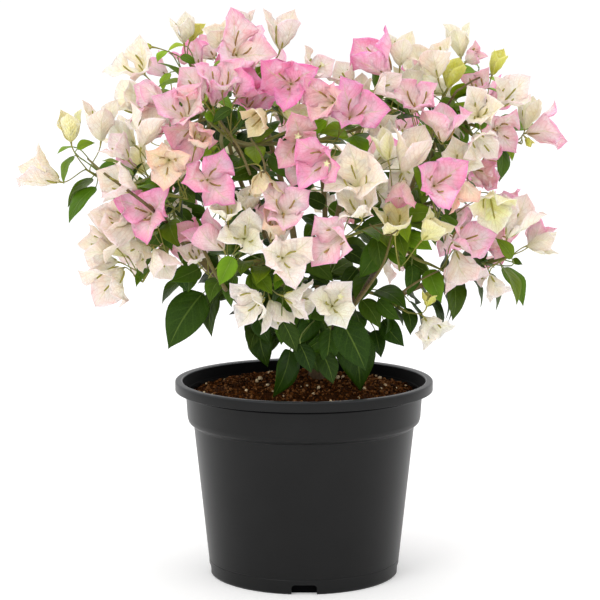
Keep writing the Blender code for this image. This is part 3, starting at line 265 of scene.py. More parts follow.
# Whorls and leaves of the front that the solids leave out; a leaf's last number says how light its green is, partly its
# age and partly painted light and shade
MORE_BLOOMS: tuple[tuple[str, Row], ...] = (
    ("right_far", (525, 129, 0.1, -1, 34, 24, CREAM)), ("right_edge", (529, 246, 0.5, -0.9, 32, 28, PINK)),
    ("left_pink", (222, 92, 0, -0.8, 34, 48, PINK)), ("left_pink", (248, 108, 0.4, -0.6, 32, 50, VIVID)),
    ("crown_middle", (318, 112, 0.3, -0.8, 30, 42, PINK)), ("heart_high", (312, 160, -0.4, 0.1, 34, 42, PINK)),
    ("right_peak", (448, 88, 0.2, -1, 34, 30, YOUNG)), ("left_bright", (126, 226, -0.6, -0.5, 34, 42, BLUSH)),
    ("right_shoulder", (414, 92, -0.3, -1, 30, 34, CREAM)), ("left_low", (112, 246, -0.9, -0.25, 32, 34, BLUSH)),
    ("left_low", (118, 262, -1, -0.1, 36, 30, PALE)), ("left_middle", (196, 146, 0.3, -0.7, 34, 40, PEACH)),
    ("left_inner", (186, 118, -0.2, -0.6, 36, 46, PINK)), ("middle_cream", (262, 226, 0.4, -0.8, 32, 40, PINK)),
    ("left_dusky", (198, 262, -0.2, -0.7, 30, 40, PALE)),
)
SHOWN_LEAVES: tuple[tuple[float, ...], ...] = (
    (233, 257, 219, 285, 0.72), (231, 109, 212, 122, 0.2), (77, 148, 94, 142, 0.7), (181, 56, 196, 64, 0.5),
    (512, 258, 497, 238, 0.6), (300, 344, 311, 373, 0), (322, 352, 333, 384, 0.05), (341, 320, 366, 371, 0.1),
    (283, 322, 296, 352, 0.1),
)
LEAF_LIFT = 0.010

# Stems that the front shows over the whorls: limb, radius at either end, how far before the crown's skin,
# points from foot to top
SHOWN_STEMS: tuple[tuple[str, float, float, float, tuple[tuple[float, float], ...]], ...] = (
    ("left", 0.0017, 0.0009, 0.010, ((148, 206), (127, 190), (104, 173), (86, 160))),
    ("left", 0.0019, 0.0015, 0.002, ((226, 290), (214, 271), (202, 250))),
    ("upper_left", 0.0013, 0.0010, 0.002, ((250, 174), (240, 150), (226, 130))),
    ("upper_left", 0.0011, 0.0009, 0.002, ((264, 172), (261, 154), (250, 140))),
    ("right", 0.0020, 0.0009, -0.010, ((350, 312), (354, 306), (371, 283), (384, 262), (393, 234))),
    ("right_low", 0.0012, 0.0008, -0.008, ((404, 291), (422, 279), (440, 273))),
    ("right", 0.0009, 0.0007, 0.004, ((398, 230), (386, 235), (370, 226))),
    ("right", 0.0013, 0.0007, 0.004, ((452, 98), (462, 88), (476, 79), (494, 74))),
)
STEM_DIP = 0.016

# Gaps that the front shows between the leaves: middle and half sizes
GAPS = ((385, 285, 38, 32), (234, 331, 16, 14), (90, 206, 22, 26), (268, 145, 20, 16), (408, 345, 24, 12),
        (162, 262, 16, 12), (300, 235, 20, 14), (430, 276, 22, 24), (486, 288, 18, 16))

# What is added between the solids' whorls and leaves
SKIN_SPOTS = 230
SKIN_SPACING = 0.034
LONGEST_PEDICEL = 0.058
LOWEST_LEAF = 0.212
FRONT_DEPTH = -0.05

# Foot and top of the flower tubes in deep and in pale bracts
PALE_TINTS = (PALE, CREAM, WHITE, YOUNG, BUTTER, GREENISH, BLUSH)
TUBE_TINTS = (((152, 118, 70), (176, 154, 84)), ((186, 182, 84), (160, 158, 62)))


def seen(x: float, y: float, behind: float) -> Vector:
    """Finds the point seen at pixel x, y of the front view, so far behind the pot's axis."""
    ray = VIEW_AHEAD + Vector(((x - VIEW_MIDDLE) / VIEW_FOCAL, 0, 0)) - VIEW_UP * ((y - VIEW_MIDDLE) / VIEW_FOCAL)
    return VIEW_PLACE + ray * ((behind - VIEW_PLACE.y) / ray.y)


def in_view(point: Vector) -> tuple[float, float]:
    """Finds the pixel of the front view that shows a point."""
    aside, depth, rise = ((point - VIEW_PLACE).dot(way) for way in (VIEW_RIGHT, VIEW_AHEAD, VIEW_UP))
    return VIEW_MIDDLE + VIEW_FOCAL * aside / depth, VIEW_MIDDLE - VIEW_FOCAL * rise / depth


def inside_outline(point: Vector) -> bool:
    """Says whether a point lies within the crown's outline in the front view."""
    (x, y), (mid_x, mid_y, half_x, half_y) = in_view(point), OUTLINE
    return (abs(x - DIP[0]) >= DIP[1] or y >= DIP[2]) and ((x - mid_x) / half_x) ** 4 + ((y - mid_y) / half_y) ** 4 < 1


def in_a_gap(point: Vector) -> bool:
    """Says whether a point lies in one of the gaps between the leaves."""
    x, y = in_view(point)
    return any(((x - gap_x) / half_x) ** 2 + ((y - gap_y) / half_y) ** 2 < 1 for gap_x, gap_y, half_x, half_y in GAPS)


def on_skin(x: float, y: float) -> Vector:
    """Finds the point of the crown's skin seen at pixel x, y."""
    flat = seen(x, y, 0) - CROWN_MIDDLE
    return seen(x, y, -CROWN_HALF.y * sqrt(max(1 - (flat.x / CROWN_HALF.x) ** 2 - (flat.z / CROWN_HALF.z) ** 2, 0)))


def outward(point: Vector) -> Vector:
    """Gives the way that the crown's skin faces near a point."""
    return ((point - CROWN_MIDDLE) * Vector([1 / half ** 2 for half in CROWN_HALF])).normalized()


def golden_points(count: int, span: float) -> Points:
    """Spreads unit directions evenly by the golden angle, from straight up to a span further down."""
    turns = [(1 - span * (number + 0.5) / count, pi * (3 - sqrt(5)) * number) for number in range(count)]
    return [Vector((sqrt(1 - z * z) * cos(turn), sqrt(1 - z * z) * sin(turn), z)) for z, turn in turns]


def across(direction: Vector, hint: Vector) -> Vector:
    """Gives the unit vector square to a direction and nearest to a hint."""
    side = hint - direction * hint.dot(direction)
    return (direction.orthogonal() if side.length < 0.05 else side).normalized()


def smooth_line(points: Line, steps: int) -> Points:
    """Draws a smooth curve through points.

    Args:
        points: The points.
        steps: Number of steps between two of them.

    Returns:
        The curve's points.
    """
    ends = [points[0] * 2 - points[1], *points, points[-1] * 2 - points[-2]]
    return [((b * 2) + (c - a) * t + (a * 2 - b * 5 + c * 4 - d) * t ** 2 + (b * 3 - a - c * 3 + d) * t ** 3) / 2
            for a, b, c, d in zip(ends, ends[1:], ends[2:], ends[3:])
            for t in (step / steps for step in range(steps))] + [points[-1]]


def bent_line(start: Vector, start_way: Vector, end: Vector, end_way: Vector, count: int, pull: float = 0.38) -> Points:
    """Draws a bend that leaves its start and reaches its end along two directions.

    Args:
        start: Where it starts.
        start_way: Unit direction in which it leaves.
        end: Where it ends.
        end_way: Unit direction in which it arrives.
        count: Number of points.
        pull: How far it follows both, as a share of the distance.

    Returns:
        Its points.
    """
    after, before = (place + way * ((end - start).length * pull)
                     for place, way in ((start, start_way), (end, -end_way)))
    return [start * s ** 3 + after * 3 * s * s * t + before * 3 * s * t * t + end * t ** 3
            for s, t in ((1 - index / (count - 1), index / (count - 1)) for index in range(count))]


class Space:
    """Keeps what is placed, so that new pieces stay clear of it."""

    def __init__(self) -> None:
        """Starts with nothing placed."""
        self.kept: list[tuple[str, list[float], list[float], BVHTree]] = []

    def keep(self, owner: str, solid: Solid) -> None:
        """Adds a placed solid under its owner's name."""
        self.kept.append((owner, *box(solid[0]), BVHTree.FromPolygons(*solid)))

    def clear(self, solid: Solid, mates: tuple[str, ...] = ()) -> bool:
        """Says whether a solid crosses nothing placed but what its mates own.

        Args:
            solid: Corners and faces.
            mates: Owners that it may cross.

        Returns:
            True where it is clear.
        """
        (low, high), tree = box(solid[0]), BVHTree.FromPolygons(*solid)
        return not any(owner not in mates and all(low[i] <= top[i] and high[i] >= foot[i] for i in range(3))
                       and tree.overlap(other) for owner, foot, top, other in self.kept)

    def settle(self, owner: str, blade: Solid, stalk: Solid, mate: str, tested: Solid | None = None) -> bool:
        """Keeps a blade and its stalk where both are clear.

        Args:
            owner: Name that the blade is kept under.
            blade: The blade or the whorl.
            stalk: The stalk, kept under its mate's name.
            mate: Owner that the stalk grows from.
            tested: What stands for the stalk in the test, where that differs.

        Returns:
            True where they were clear and are kept.
        """
        if (not self.clear(blade) or not self.clear(tested or stalk, (mate,))
                or BVHTree.FromPolygons(*blade).overlap(BVHTree.FromPolygons(*stalk))):
            return False
        self.keep(owner, blade)
        self.keep(mate, stalk)
        return True


def box(points: Points) -> tuple[list[float], list[float]]:
    """Gives the lowest and highest corner of a box round points."""
    return tuple([pick(values) for values in zip(*points)] for pick in (min, max))


def spoke(first: Vector, second: Vector, turn: float) -> Vector:
    """Gives the direction at a turn from one direction to another that is square to it."""
    return first * cos(turn) + second * sin(turn)


def prism(points: Line, radius: float, sides: int = 3) -> Solid:
    """Makes a slim prism along a line, to test a stem's room with.

    Args:
        points: The stem's line.
        radius: The prism's radius.
        sides: Number of sides.

    Returns:
        The prism's corners and faces.
    """
    verts, faces = [], []
    for before, point, after in zip([points[0], *points], points, [*points[1:], points[-1]]):
        way = (after - before).normalized()
        first = across(way, Vector((0.31, 0.22, 0.93)))
        second = way.cross(first)
        verts += [point + spoke(first, second, tau * side / sides) * radius for side in range(sides)]
    for a in range(len(verts) - sides):
        b = a + 1 if (a + 1) % sides else a + 1 - sides
        faces += [(a, b, b + sides), (a, b + sides, a + sides)]
    return verts, faces + [tuple(range(sides))[::-1], tuple(range(len(verts) - sides, len(verts)))]


def add_blade(solid: Solid, root: tuple[int, int, int, int], base: Vector, frame: tuple[Vector, Vector, Vector],
              size: Place, outline: Sequence[Place], fold: float) -> None:
    """Adds a thick folded blade that grows from four root corners, to test its room with.

    Args:
        solid: Corners and faces, which the blade's are added to.
        root: Upper left, upper right, lower right and lower left corner of the root.
        base: Middle of the blade's foot.
        frame: Unit vectors along the blade, to its side and up from it.
        size: Length, width and thickness.
        outline: Share of the length, share of the width and lift at each step, up to the tip.
        fold: How far the sides are folded up, as a share of their width.
    """
    verts, faces = solid
    along, side, up = frame
    length, width, thickness = size
    edge = [*outline, *((share, -breadth, lift) for share, breadth, lift in outline[-2::-1])]
    tip = len(outline)
    loops = []
    for a, b, drop in ((root[0], root[1], 0), (root[3], root[2], thickness)):
        loop = [b, *range(len(verts), len(verts) + len(edge)), a]
        for share, breadth, lift in edge:
            middle = base + along * (length * share) + up * (lift * length + fold * abs(breadth) * width - drop)
            verts.append(middle + side * (breadth * width))
        faces += [(b, *loop[i:i + 2]) for i in range(1, tip)] + [(a, *loop[i:i + 2]) for i in range(tip, len(edge))]
        faces += [(a, b, loop[tip])] if a != b else []
        loops.append(loop)
    for a, b, c, d in zip(loops[0], loops[0][1:], loops[1], loops[1][1:]):
        faces += [(a, c, d), (a, d, b)]


def whorl_room(whorl: Whorl) -> Solid:
    """Makes a whorl's three folded bracts, slightly enlarged, to test their room with.

    Args:
        whorl: The whorl.

    Returns:
        Corners and faces.
    """
    hub, axis, reach, opening = whorl[:4]
    outline = FULL_BRACT if reach >= FULL_REACH and opening >= FULL_OPENING else LEAN_BRACT
    first = across(axis, UP)
    second = axis.cross(first)
    slant, lean = sin(radians(opening)), cos(radians(opening))
    thickness = BRACT_THICKNESS + ROOM
    half_depth = thickness * slant / 2
    outs = [spoke(first, second, whorl.spin + tau * corner / 3) for corner in range(3)]
    verts = [hub + spoke(first, second, whorl.spin + tau * corner / 3 - pi / 3) * radius + axis * height
             for radius, height in ((HUB_RADIUS, half_depth), (HUB_RADIUS + 2 * thickness * lean, -half_depth))
             for corner in range(3)]
    solid: Solid = (verts + [hub + axis * (reach * TUBE_SHARE)], [])
    widest = 1.45 * slant / (BRACT_WIDTH * (1 + 1.45 * BRACT_FOLD * lean))
    outline = [*((share, min(breadth, share * widest), lift) for share, breadth, lift in outline), (1, 0, -0.10)]
    for corner, out in enumerate(outs):
        after = (corner + 1) % 3
        solid[1].append((corner, after, 6))
        add_blade(solid, (corner, after, after + 3, corner + 3), hub + out * (HUB_RADIUS / 2) + axis * half_depth,
                  (axis * lean + out * slant, axis.cross(out), axis * slant - out * lean),
                  (reach + ROOM, BRACT_WIDTH * reach + ROOM, thickness), outline, BRACT_FOLD)
    return solid


def stalk_line(start: Vector, facing: Vector, end: Vector, bend: float) -> Points:
    """Gives a stalk's line from what it carries to where it grows, with a bend where it has to turn."""
    turns = (end - start).normalized().dot(facing) <= 0.42
    return [start, start + facing * min(bend, (end - start).length * 0.4), end] if turns else [start, end]


def leaf_room(base: Vector, tip: Vector, facing: Vector) -> Solid:
    """Makes a folded leaf blade, slightly enlarged, to test its room with.

    Args:
        base: Foot of the blade.
        tip: Tip of the blade.
        facing: Direction that its upper side faces.

    Returns:
        Corners and faces.
    """
    along = (tip - base).normalized()
    up = across(along, facing)
    side = along.cross(up)
    length = (tip - base).length
    half = PETIOLE_HALF + ROOM / 2
    solid: Solid = ([base + (side * x + up * y) * half for x, y in ((-1, 0.6), (1, 0.6), (0, -1))], [])
    size = (length + ROOM, LEAF_WIDTH * length + ROOM, LEAF_THICKNESS + ROOM)
    outline = FULL_LEAF if length >= FULL_LEAF_LENGTH else LEAN_LEAF
    add_blade(solid, (0, 1, 2, 2), base + up * (LEAF_THICKNESS + ROOM) / 2, (along, side, up), size,
              [*outline, (1, 0, -0.08)], 0.28)
    return solid


class Whorl(NamedTuple):
    """A whorl: foot, facing, reach, opening, way that it gives, tint, and once placed, its turn and stalk."""

    hub: Vector
    axis: Vector
    reach: float
    opening: float
    inward: Vector
    tint: Tint
    flowering: bool
    spin: float = 0.0
    line: Line = ()


class Blade(NamedTuple):
    """A placed leaf: its petiole's line, its tip, its facing and how light its green is."""

    line: Points
    tip: Vector
    facing: Vector
    green_lightness: float | None = None


@dataclass
class Spray:
    """A spray: name, material slot, fork, wanted whorls, and once placed, its stalk and whorls."""

    name: str
    slot: str
    fork: Vector
    wanted: list[Whorl]
    stalk: Points = field(default_factory=list)
    whorls: list[Whorl] = field(default_factory=list)


class Plant:
    """Works out where every stem, whorl and leaf of the plant lies."""

    def __init__(self) -> None:
        """Starts with an empty crown."""
        self.space = Space()
        self.draw = random.Random(SEED)
        self.paint = random.Random(SEED + 1)
        self.limbs: dict[str, Points] = {}
        self.stubs: list[tuple[Vector, Vector]] = []
        self.twigs: dict[str, list[Points]] = {name: [] for name in LIMBS}
        self.leaves: dict[str, list[Blade]] = {name: [] for name in LIMBS}
        self.sprays: dict[str, Spray] = {}
        self.stations: list[tuple[str, Vector, Vector]] = []

    def grow(self) -> None:
        """Places stems, then whorls, then leaves, each clear of all before it."""
        self.grow_limbs()
        for spray in self.front_sprays() + self.round_sprays():
            self.grow_twig(spray)
        for spray in self.sprays.values():
            for bloom in spray.wanted:
                self.grow_whorl(spray, bloom)
        for row in LEAVES:
            self.grow_front_leaf(row)
        self.grow_round_leaves()

    def grow_limbs(self) -> None:
        """Lays the limbs from their stubs on the woody stem, and keeps the room of pot and soil."""
        routes = {name: [seen(x, y, behind / 1000) for x, y, behind in line] for name, line in LIMBS.items()}
        middle = Vector((STEM_X, 0, (FORK_LOW + FORK_HIGH) / 2))
        names = sorted(routes, key=lambda name: (routes[name][0] - middle).normalized().z)
        for index, name in enumerate(names):
            fork = Vector((STEM_X, 0, FORK_LOW + (FORK_HIGH - FORK_LOW) * index / (len(names) - 1)))
            route = routes[name]
            way = (route[0] - fork).normalized()
            end = fork + way * STUB_LENGTH
            self.stubs.append((fork, end))
            self.limbs[name] = [end + way * GAP, *route]
            self.space.keep("stem " + name, prism(self.limbs[name], LIMB_RADIUS + ROOM, 6))
            for place, after in zip(route, route[1:]):
                growth = (after - place).normalized()
                self.stations += [(name, place, growth), (name, place.lerp(after, 0.5), growth)]
            self.stations.append((name, route[-1], growth))
        for stub in self.stubs:
            self.space.keep("stem trunk", prism(stub, LIMB_RADIUS + ROOM, 6))
        stem = [Vector((STEM_X, 0, height)) for height in (STEM_FOOT, FORK_HIGH)]
        self.space.keep("stem trunk", prism(stem, STEM_RADIUS + ROOM, 8))
        edge = [Vector((LIP_RADIUS * cos(turn), LIP_RADIUS * sin(turn), POT_HEIGHT))
                for turn in (tau * side / 24 for side in range(25))]
        self.space.keep("pot", prism(edge, 0.004, 4))
        low = SOIL_RIM + SOIL_MOUND
        corners = [Vector((x * LIP_RADIUS, y * LIP_RADIUS, low)) for x, y in SQUARE]
        self.space.keep("soil", (corners, [(0, 1, 2, 3)]))

    def wanted(self, row: Row) -> Whorl:
        """Works out where a whorl of the front goes in space.

        Args:
            row: The whorl's row in the tables.

        Returns:
            The wanted whorl.
        """
        x, y, aim_x, aim_y, reach, opening, tint = row
        hub = on_skin(x, y)
        axis = Vector((aim_x, -sqrt(max(1 - aim_x ** 2 - aim_y ** 2, 0.05)), -aim_y)).normalized()
        inward = (hub - VIEW_PLACE).normalized()
        hub = hub + inward * (self.draw.random() * 0.012)
        return Whorl(hub, axis, reach / 1000, opening, inward, tint, (x, y) in FLOWERING)

    def front_sprays(self) -> list[Spray]:
        """Lists the sprays of the front, whose whorls lie on the crown's skin.

        Returns:
            The sprays.
        """
        sprays = []
        for name, x, y, slot, rows in SPRAYS:
            blooms = [self.wanted(row) for row in rows]
            depth = sum(bloom.hub.y for bloom in blooms) / len(blooms)
            sprays.append(Spray(name, slot, seen(x, y, min(depth + 0.030, 0.05)), blooms))
        return sprays

    def round_sprays(self) -> list[Spray]:
        """Lists the sprays of the sides, top and back, spread evenly by the golden angle.

        Returns:
            The sprays.
        """
        places: Points = []
        units = [unit for unit in golden_points(int(ROUND_BLOOMS * 1.62), 1.62)
                 if unit.y >= -0.22 * (1 - 0.5 * max(unit.z, 0))]
        for unit in units[:ROUND_BLOOMS]:
            spot = unit * ROUND_HALF * (1 - 0.09 * self.draw.random())
            while not inside_outline(CROWN_MIDDLE + spot):
                spot = spot * 0.94
            places.append(CROWN_MIDDLE + spot)
        roots = [places[int((index + 0.5) * len(places) / ROUND_SPRAYS)] for index in range(ROUND_SPRAYS)]
        for _ in range(6):
            groups: list[Points] = [[] for _ in roots]
            for place in places:
                groups[min(range(len(roots)), key=lambda i: (roots[i] - place).length)].append(place)
            roots = [sum(group, Vector()) / len(group) if group else root for group, root in zip(groups, roots)]
        sprays = []
        for index, (root, group) in enumerate(zip(roots, groups)):
            blooms = []
            for hub in group:
                tilt = Vector([self.draw.uniform(-0.6, 0.6) for _ in range(3)])
                reach, opening = self.draw.uniform(0.027, 0.040), self.draw.uniform(28, 60)
                tint = self.paint.choice(ROUND_TINTS[index % 2])
                blooms.append(Whorl(hub, (outward(hub) + tilt).normalized(), reach, opening, -outward(hub), tint,
                                    self.paint.random() < 0.1))
            sprays.append(Spray("round_%02d" % (index + 1), ("pink", "cream")[index % 2],
                                root - outward(root) * 0.028, blooms))
        return sprays

    def grow_twig(self, spray: Spray) -> None:
        """Grows the twig that carries a spray, and the spray's stalk.

        Args:
            spray: The spray.
        """
        middle = sum((bloom.hub for bloom in spray.wanted), Vector()) / len(spray.wanted)
        way = (middle - spray.fork).normalized()
        way = (way + (spray.fork - Vector((STEM_X, 0, FORK_HIGH))).normalized() * 0.6).normalized()
        aside = across(way, UP) * 0.006
        for move in (Vector(), aside, -aside, way.cross(aside), aside.cross(way), aside * 2, aside * -2):
            if self.twig_to(spray, spray.fork + move - way * STALK_LENGTH, way):
                return

    def twig_to(self, spray: Spray, end: Vector, way: Vector) -> bool:
        """Grows the shortest clear twig to a point, and the spray's stalk past it.

        Args:
            spray: The spray that it carries.
            end: Where the twig ends.
            way: Unit direction in which it arrives.

        Returns:
            True where there was room.
        """
        options = []
        for limb, place, growth in self.stations:
            apart = end - place
            if apart.length > 0.012:
                options.append((apart.length * (1.6 - 0.6 * apart.normalized().dot(growth)), limb, place, growth))
        options.sort(key=lambda option: option[0])
        for (_, limb, place, growth), swing in product(options[:30], (0, 0.7, -0.7, 1.4, -1.4, 2.4, -2.4)):
            line = bent_line(place, (growth + way + growth.cross(way) * swing).normalized(), end, way, TWIG_POINTS)
            last = (line[-1] - line[-2]).normalized()
            stalk = [end + last * GAP, end + last * STALK_LENGTH]
            twig_room, stalk_room = prism(line, TWIG_RADIUS + ROOM, 4), prism(stalk, STALK_RADIUS + ROOM, 4)
            if self.space.clear(twig_room, ("stem " + limb,)) and self.space.clear(stalk_room):
                self.space.keep("stem " + limb, twig_room)
                self.space.keep("stem spray " + spray.name, stalk_room)
                self.stations += [(limb, a, (b - a).normalized()) for a, b in zip(line[1:], line[2:])]
                self.twigs[limb].append(line)
                self.sprays[spray.name] = spray
                spray.stalk = stalk
                return True
        return False

    def grow_whorl(self, spray: Spray, bloom: Whorl) -> bool:
        """Places a whorl on its stalk, pushed, turned or shrunk until it is clear.

        Args:
            spray: Its spray.
            bloom: The wanted whorl.

        Returns:
            True where it found room.
        """
        spin = self.draw.random() * tau
        start, end = spray.stalk
        fork = end + (start - end) * ((len(spray.whorls) * 0.19 + 0.08) % 0.9)
        pushes = (0, 0.008, -0.007, 0.016, 0.024, -0.014, 0.034)
        for shrink, push, turn in product((1, 0.9, 0.8, 0.68), pushes, (0, 40, 80)):
            hub = bloom.hub + bloom.inward * push
            line = stalk_line(hub, -bloom.axis, fork, 0.008)
            whorl = bloom._replace(hub=hub, reach=bloom.reach * shrink, spin=spin + radians(turn), line=line)
            pedicel = prism([hub - bloom.axis * 0.0026] + line[1:], PEDICEL_RADIUS + ROOM)
            if self.space.settle("whorl", whorl_room(whorl), pedicel, "stem spray " + spray.name):
                spray.whorls.append(whorl)
                return True
        return False

    def place_leaf(self, limb: str, foot: Vector, base: Vector, tip: Vector, facing: Vector) -> bool:
        """Places one leaf, rolled, swung or shrunk until it is clear.

        Args:
            limb: The limb that it grows from.
            foot: Where its petiole grows from.
            base: Foot of its blade.
            tip: Tip of its blade.
            facing: Direction that its upper side faces.

        Returns:
            True where it found room.
        """
        along = (tip - base).normalized()
        if (foot - base).normalized().dot(along) > 0.3:
            return False
        side = along.cross(facing).normalized()
        line = stalk_line(base, -along, foot, 0.004)
        petiole = prism(line, PETIOLE_HALF + ROOM)
        for shrink, swing, roll in product((1, 0.85, 0.7), (0, 0.25, -0.25, 0.5, -0.5), (0, 0.5, -0.5)):
            end = base + (Matrix.Rotation(swing, 3, side) @ (tip - base)) * shrink
            turned_up = Matrix.Rotation(roll, 3, along) @ facing
            stem = prism([base - (end - base).normalized() * 0.002] + line[1:], PETIOLE_HALF + ROOM)
            if self.space.settle("leaf", leaf_room(base, end, turned_up), stem, "stem " + limb, petiole):
                self.leaves[limb].append(Blade(line, end, turned_up))
                return True
        return False

    def grow_front_leaf(self, row: tuple[float, ...]) -> None:
        """Places a leaf of the front on the stem nearest to its foot.

        Args:
            row: Foot and tip of its blade in the front view.
        """
        x, y, tip_x, tip_y = row
        options = [(seen(x, y, place.y - 0.004), limb, place) for limb, place, _ in self.stations]
        options.sort(key=lambda option: (option[0] - option[2]).length)
        for base, limb, place in options[:6]:
            if (base - place).length < 0.004:
                base = base + Vector((0, -0.005, 0))
            facing = (outward(base) + Vector((0, -0.5, 0.6))).normalized()
            if self.place_leaf(limb, place, base, seen(tip_x, tip_y, base.y - 0.010), facing):
                return

    def grow_round_leaves(self) -> None:
        """Places leaves along limbs and twigs, to both sides in turn."""
        for number, (limb, place, growth) in enumerate(list(self.stations)):
            if number % 3 or place.z < 0.225:
                continue
            side = growth.cross(outward(place)).normalized() * (1 if number % 2 else -1)
            way = (side + outward(place) * 0.8 + UP * self.draw.uniform(-0.5, 0.4)).normalized()
            length = self.draw.uniform(0.026, 0.040)
            base = place + way * self.draw.uniform(0.007, 0.012)
            tip = base + (way - UP * 0.45).normalized() * length
            self.place_leaf(limb, place, base, tip, (UP + outward(place)).normalized())

    def counts(self) -> tuple[int, int]:
        """Counts the whorls and the leaves placed so far."""
        return sum(len(spray.whorls) for spray in self.sprays.values()), sum(map(len, self.leaves.values()))

    def fill_out(self) -> None:
        """Adds the leaves and whorls that the solids leave out."""
        draw = random.Random(SEED + 2)
        for name, row in MORE_BLOOMS:
            spray, bloom = self.sprays[name], self.wanted(row)
            if not self.grow_whorl(spray, bloom):
                line = stalk_line(bloom.hub, -bloom.axis, spray.stalk[-1], 0.008)
                spray.whorls.append(bloom._replace(spin=self.draw.random() * tau, line=line))
        for row in SHOWN_LEAVES:
            self.hang_leaf(row)
        self.add_skin_whorls(draw)
        for limb, place, growth in self.leaf_spots():
            if place.z < LOWEST_LEAF:
                continue
            aside = across(growth, outward(place))
            turns = (draw.uniform(-0.6, 0.6), draw.uniform(1.4, 2.4), -draw.uniform(1.4, 2.4))
            for turn in turns[:1 if place.y < FRONT_DEPTH else 3]:
                side = Matrix.Rotation(turn, 3, growth) @ aside
                way = (side + growth * 0.35 + UP * draw.uniform(-0.5, 0.3)).normalized()
                length = draw.uniform(0.020, 0.038)
                base = place + way * draw.uniform(0.006, 0.012)
                tip = base + (way - UP * 0.35).normalized() * length
                if not in_a_gap(tip):
                    self.place_leaf(limb, place, base, tip, (UP + outward(place) * 0.8).normalized())

    def hang_leaf(self, row: tuple[float, ...]) -> None:
        """Hangs a leaf just in front of the crown's front skin.

        Args:
            row: Foot and tip of its blade in the front view, and how light its green is.
        """
        x, y, tip_x, tip_y, green_lightness = row
        base = seen(x, y, on_skin(x, y).y - LEAF_LIFT)
        tip = seen(tip_x, tip_y, base.y - 0.004)
        limb, foot, _ = min(self.stations, key=lambda station: (station[1] - base).length)
        facing = (outward(base) + Vector((0, -0.5, 0.6))).normalized()
        line = stalk_line(base, -(tip - base).normalized(), foot, 0.004)
        self.leaves[limb].append(Blade(line, tip, facing, green_lightness))

    def hang_stem(self, limb: str, lift: float, line: Sequence[tuple[float, float]]) -> Points:
        """Follows a stem in front of the crown's skin, from its limb to where it dips between the whorls."""
        points = [seen(x, y, on_skin(x, y).y - lift) + Vector((0, STEM_DIP * ((x, y) == line[-1]), 0)) for x, y in line]
        return smooth_line([nearest(smooth_line(self.limbs[limb], 7), points[0])] + points, 5)

    def leaf_spots(self) -> list[tuple[str, Vector, Vector]]:
        """Lists more places for leaves on limbs and twigs.

        Returns:
            Limb, place and way of growth of each.
        """
        curves = [(limb, curve) for limb, line in self.limbs.items() for curve in
                  (smooth_line(line, 4)[2:], *(smooth_line(twig, 3)[1:] for twig in self.twigs[limb]))]
        return [(limb, a, (b - a).normalized()) for limb, curve in curves for a, b in zip(curve[::2], curve[1::2])]

    def add_skin_whorls(self, draw: random.Random) -> None:
        """Adds whorls over the bare places of the crown's skin.

        Args:
            draw: Source of the chance turns and sizes.
        """
        hubs = [whorl.hub for spray in self.sprays.values() for whorl in spray.whorls]
        for layer, unit in product((1, 0.8), golden_points(SKIN_SPOTS, 1.55)):
            hub = CROWN_MIDDLE + unit * ROUND_HALF * layer * draw.uniform(0.88, 1)
            if (hub.y < FRONT_DEPTH or not inside_outline(hub)
                    or min((hub - other).length for other in hubs) < SKIN_SPACING):
                continue
            axis = (outward(hub) + Vector([draw.uniform(-0.6, 0.6) for _ in range(3)])).normalized()
            near = sorted(self.sprays.values(), key=lambda spray: (spray.stalk[-1] - hub).length)[:3]
            for spray in near:
                if (spray.stalk[-1] - hub).length > LONGEST_PEDICEL:
                    break
                tint = min(spray.whorls, key=lambda whorl: (whorl.hub - hub).length).tint if spray.whorls else PALE
                if self.grow_whorl(spray, Whorl(hub, axis, draw.uniform(0.024, 0.036), draw.uniform(28, 58),
                                                -outward(hub), tint, draw.random() < 0.1)):
                    hubs.append(spray.whorls[-1].hub)
                    break


def linear(colour: Sequence[float]) -> Array:
    """Turns red, green and blue from 0 to 255 into linear values."""
    share = np.asarray(colour, float) / 255
    return np.where(share <= 0.04045, share / 12.92, ((share + 0.055) / 1.055) ** 2.4)


class Coat(NamedTuple):
    """What covers some faces: the number of their finish, linear colours at foot and margin."""

    kind: int
    inner: Array
    outer: Array


def toned(kind: int, inner: Sequence[float], outer: Sequence[float]) -> Coat:
    """Gives a coat with two colours from 0 to 255."""
    return Coat(kind, linear(inner), linear(outer))


def unit_rows(rows: Array) -> Array:
    """Scales vectors along the last axis to length one."""
    return rows / np.maximum(np.linalg.norm(rows, axis=-1, keepdims=True), 1e-12)


def round_points(turns: Array, radius: Array | float, height: Array | float) -> Array:
    """Gives the points at turns, a radius and a height, one row each."""
    return np.stack(np.broadcast_arrays(np.cos(turns) * radius, np.sin(turns) * radius, height), axis=1)


def place_grid(rows: int, asides: Array) -> Array:
    """Lists places across and along a blade, row by row from its foot."""
    return np.stack(np.meshgrid(asides, np.linspace(0, 1, rows)), axis=-1).reshape(-1, 2)


def place_object(name: str, data: bpy.types.ID) -> Piece:
    """Makes an object of a mesh, light or camera in the scene."""
    bpy.context.scene.collection.objects.link(placed := bpy.data.objects.new(name, data))
    return placed


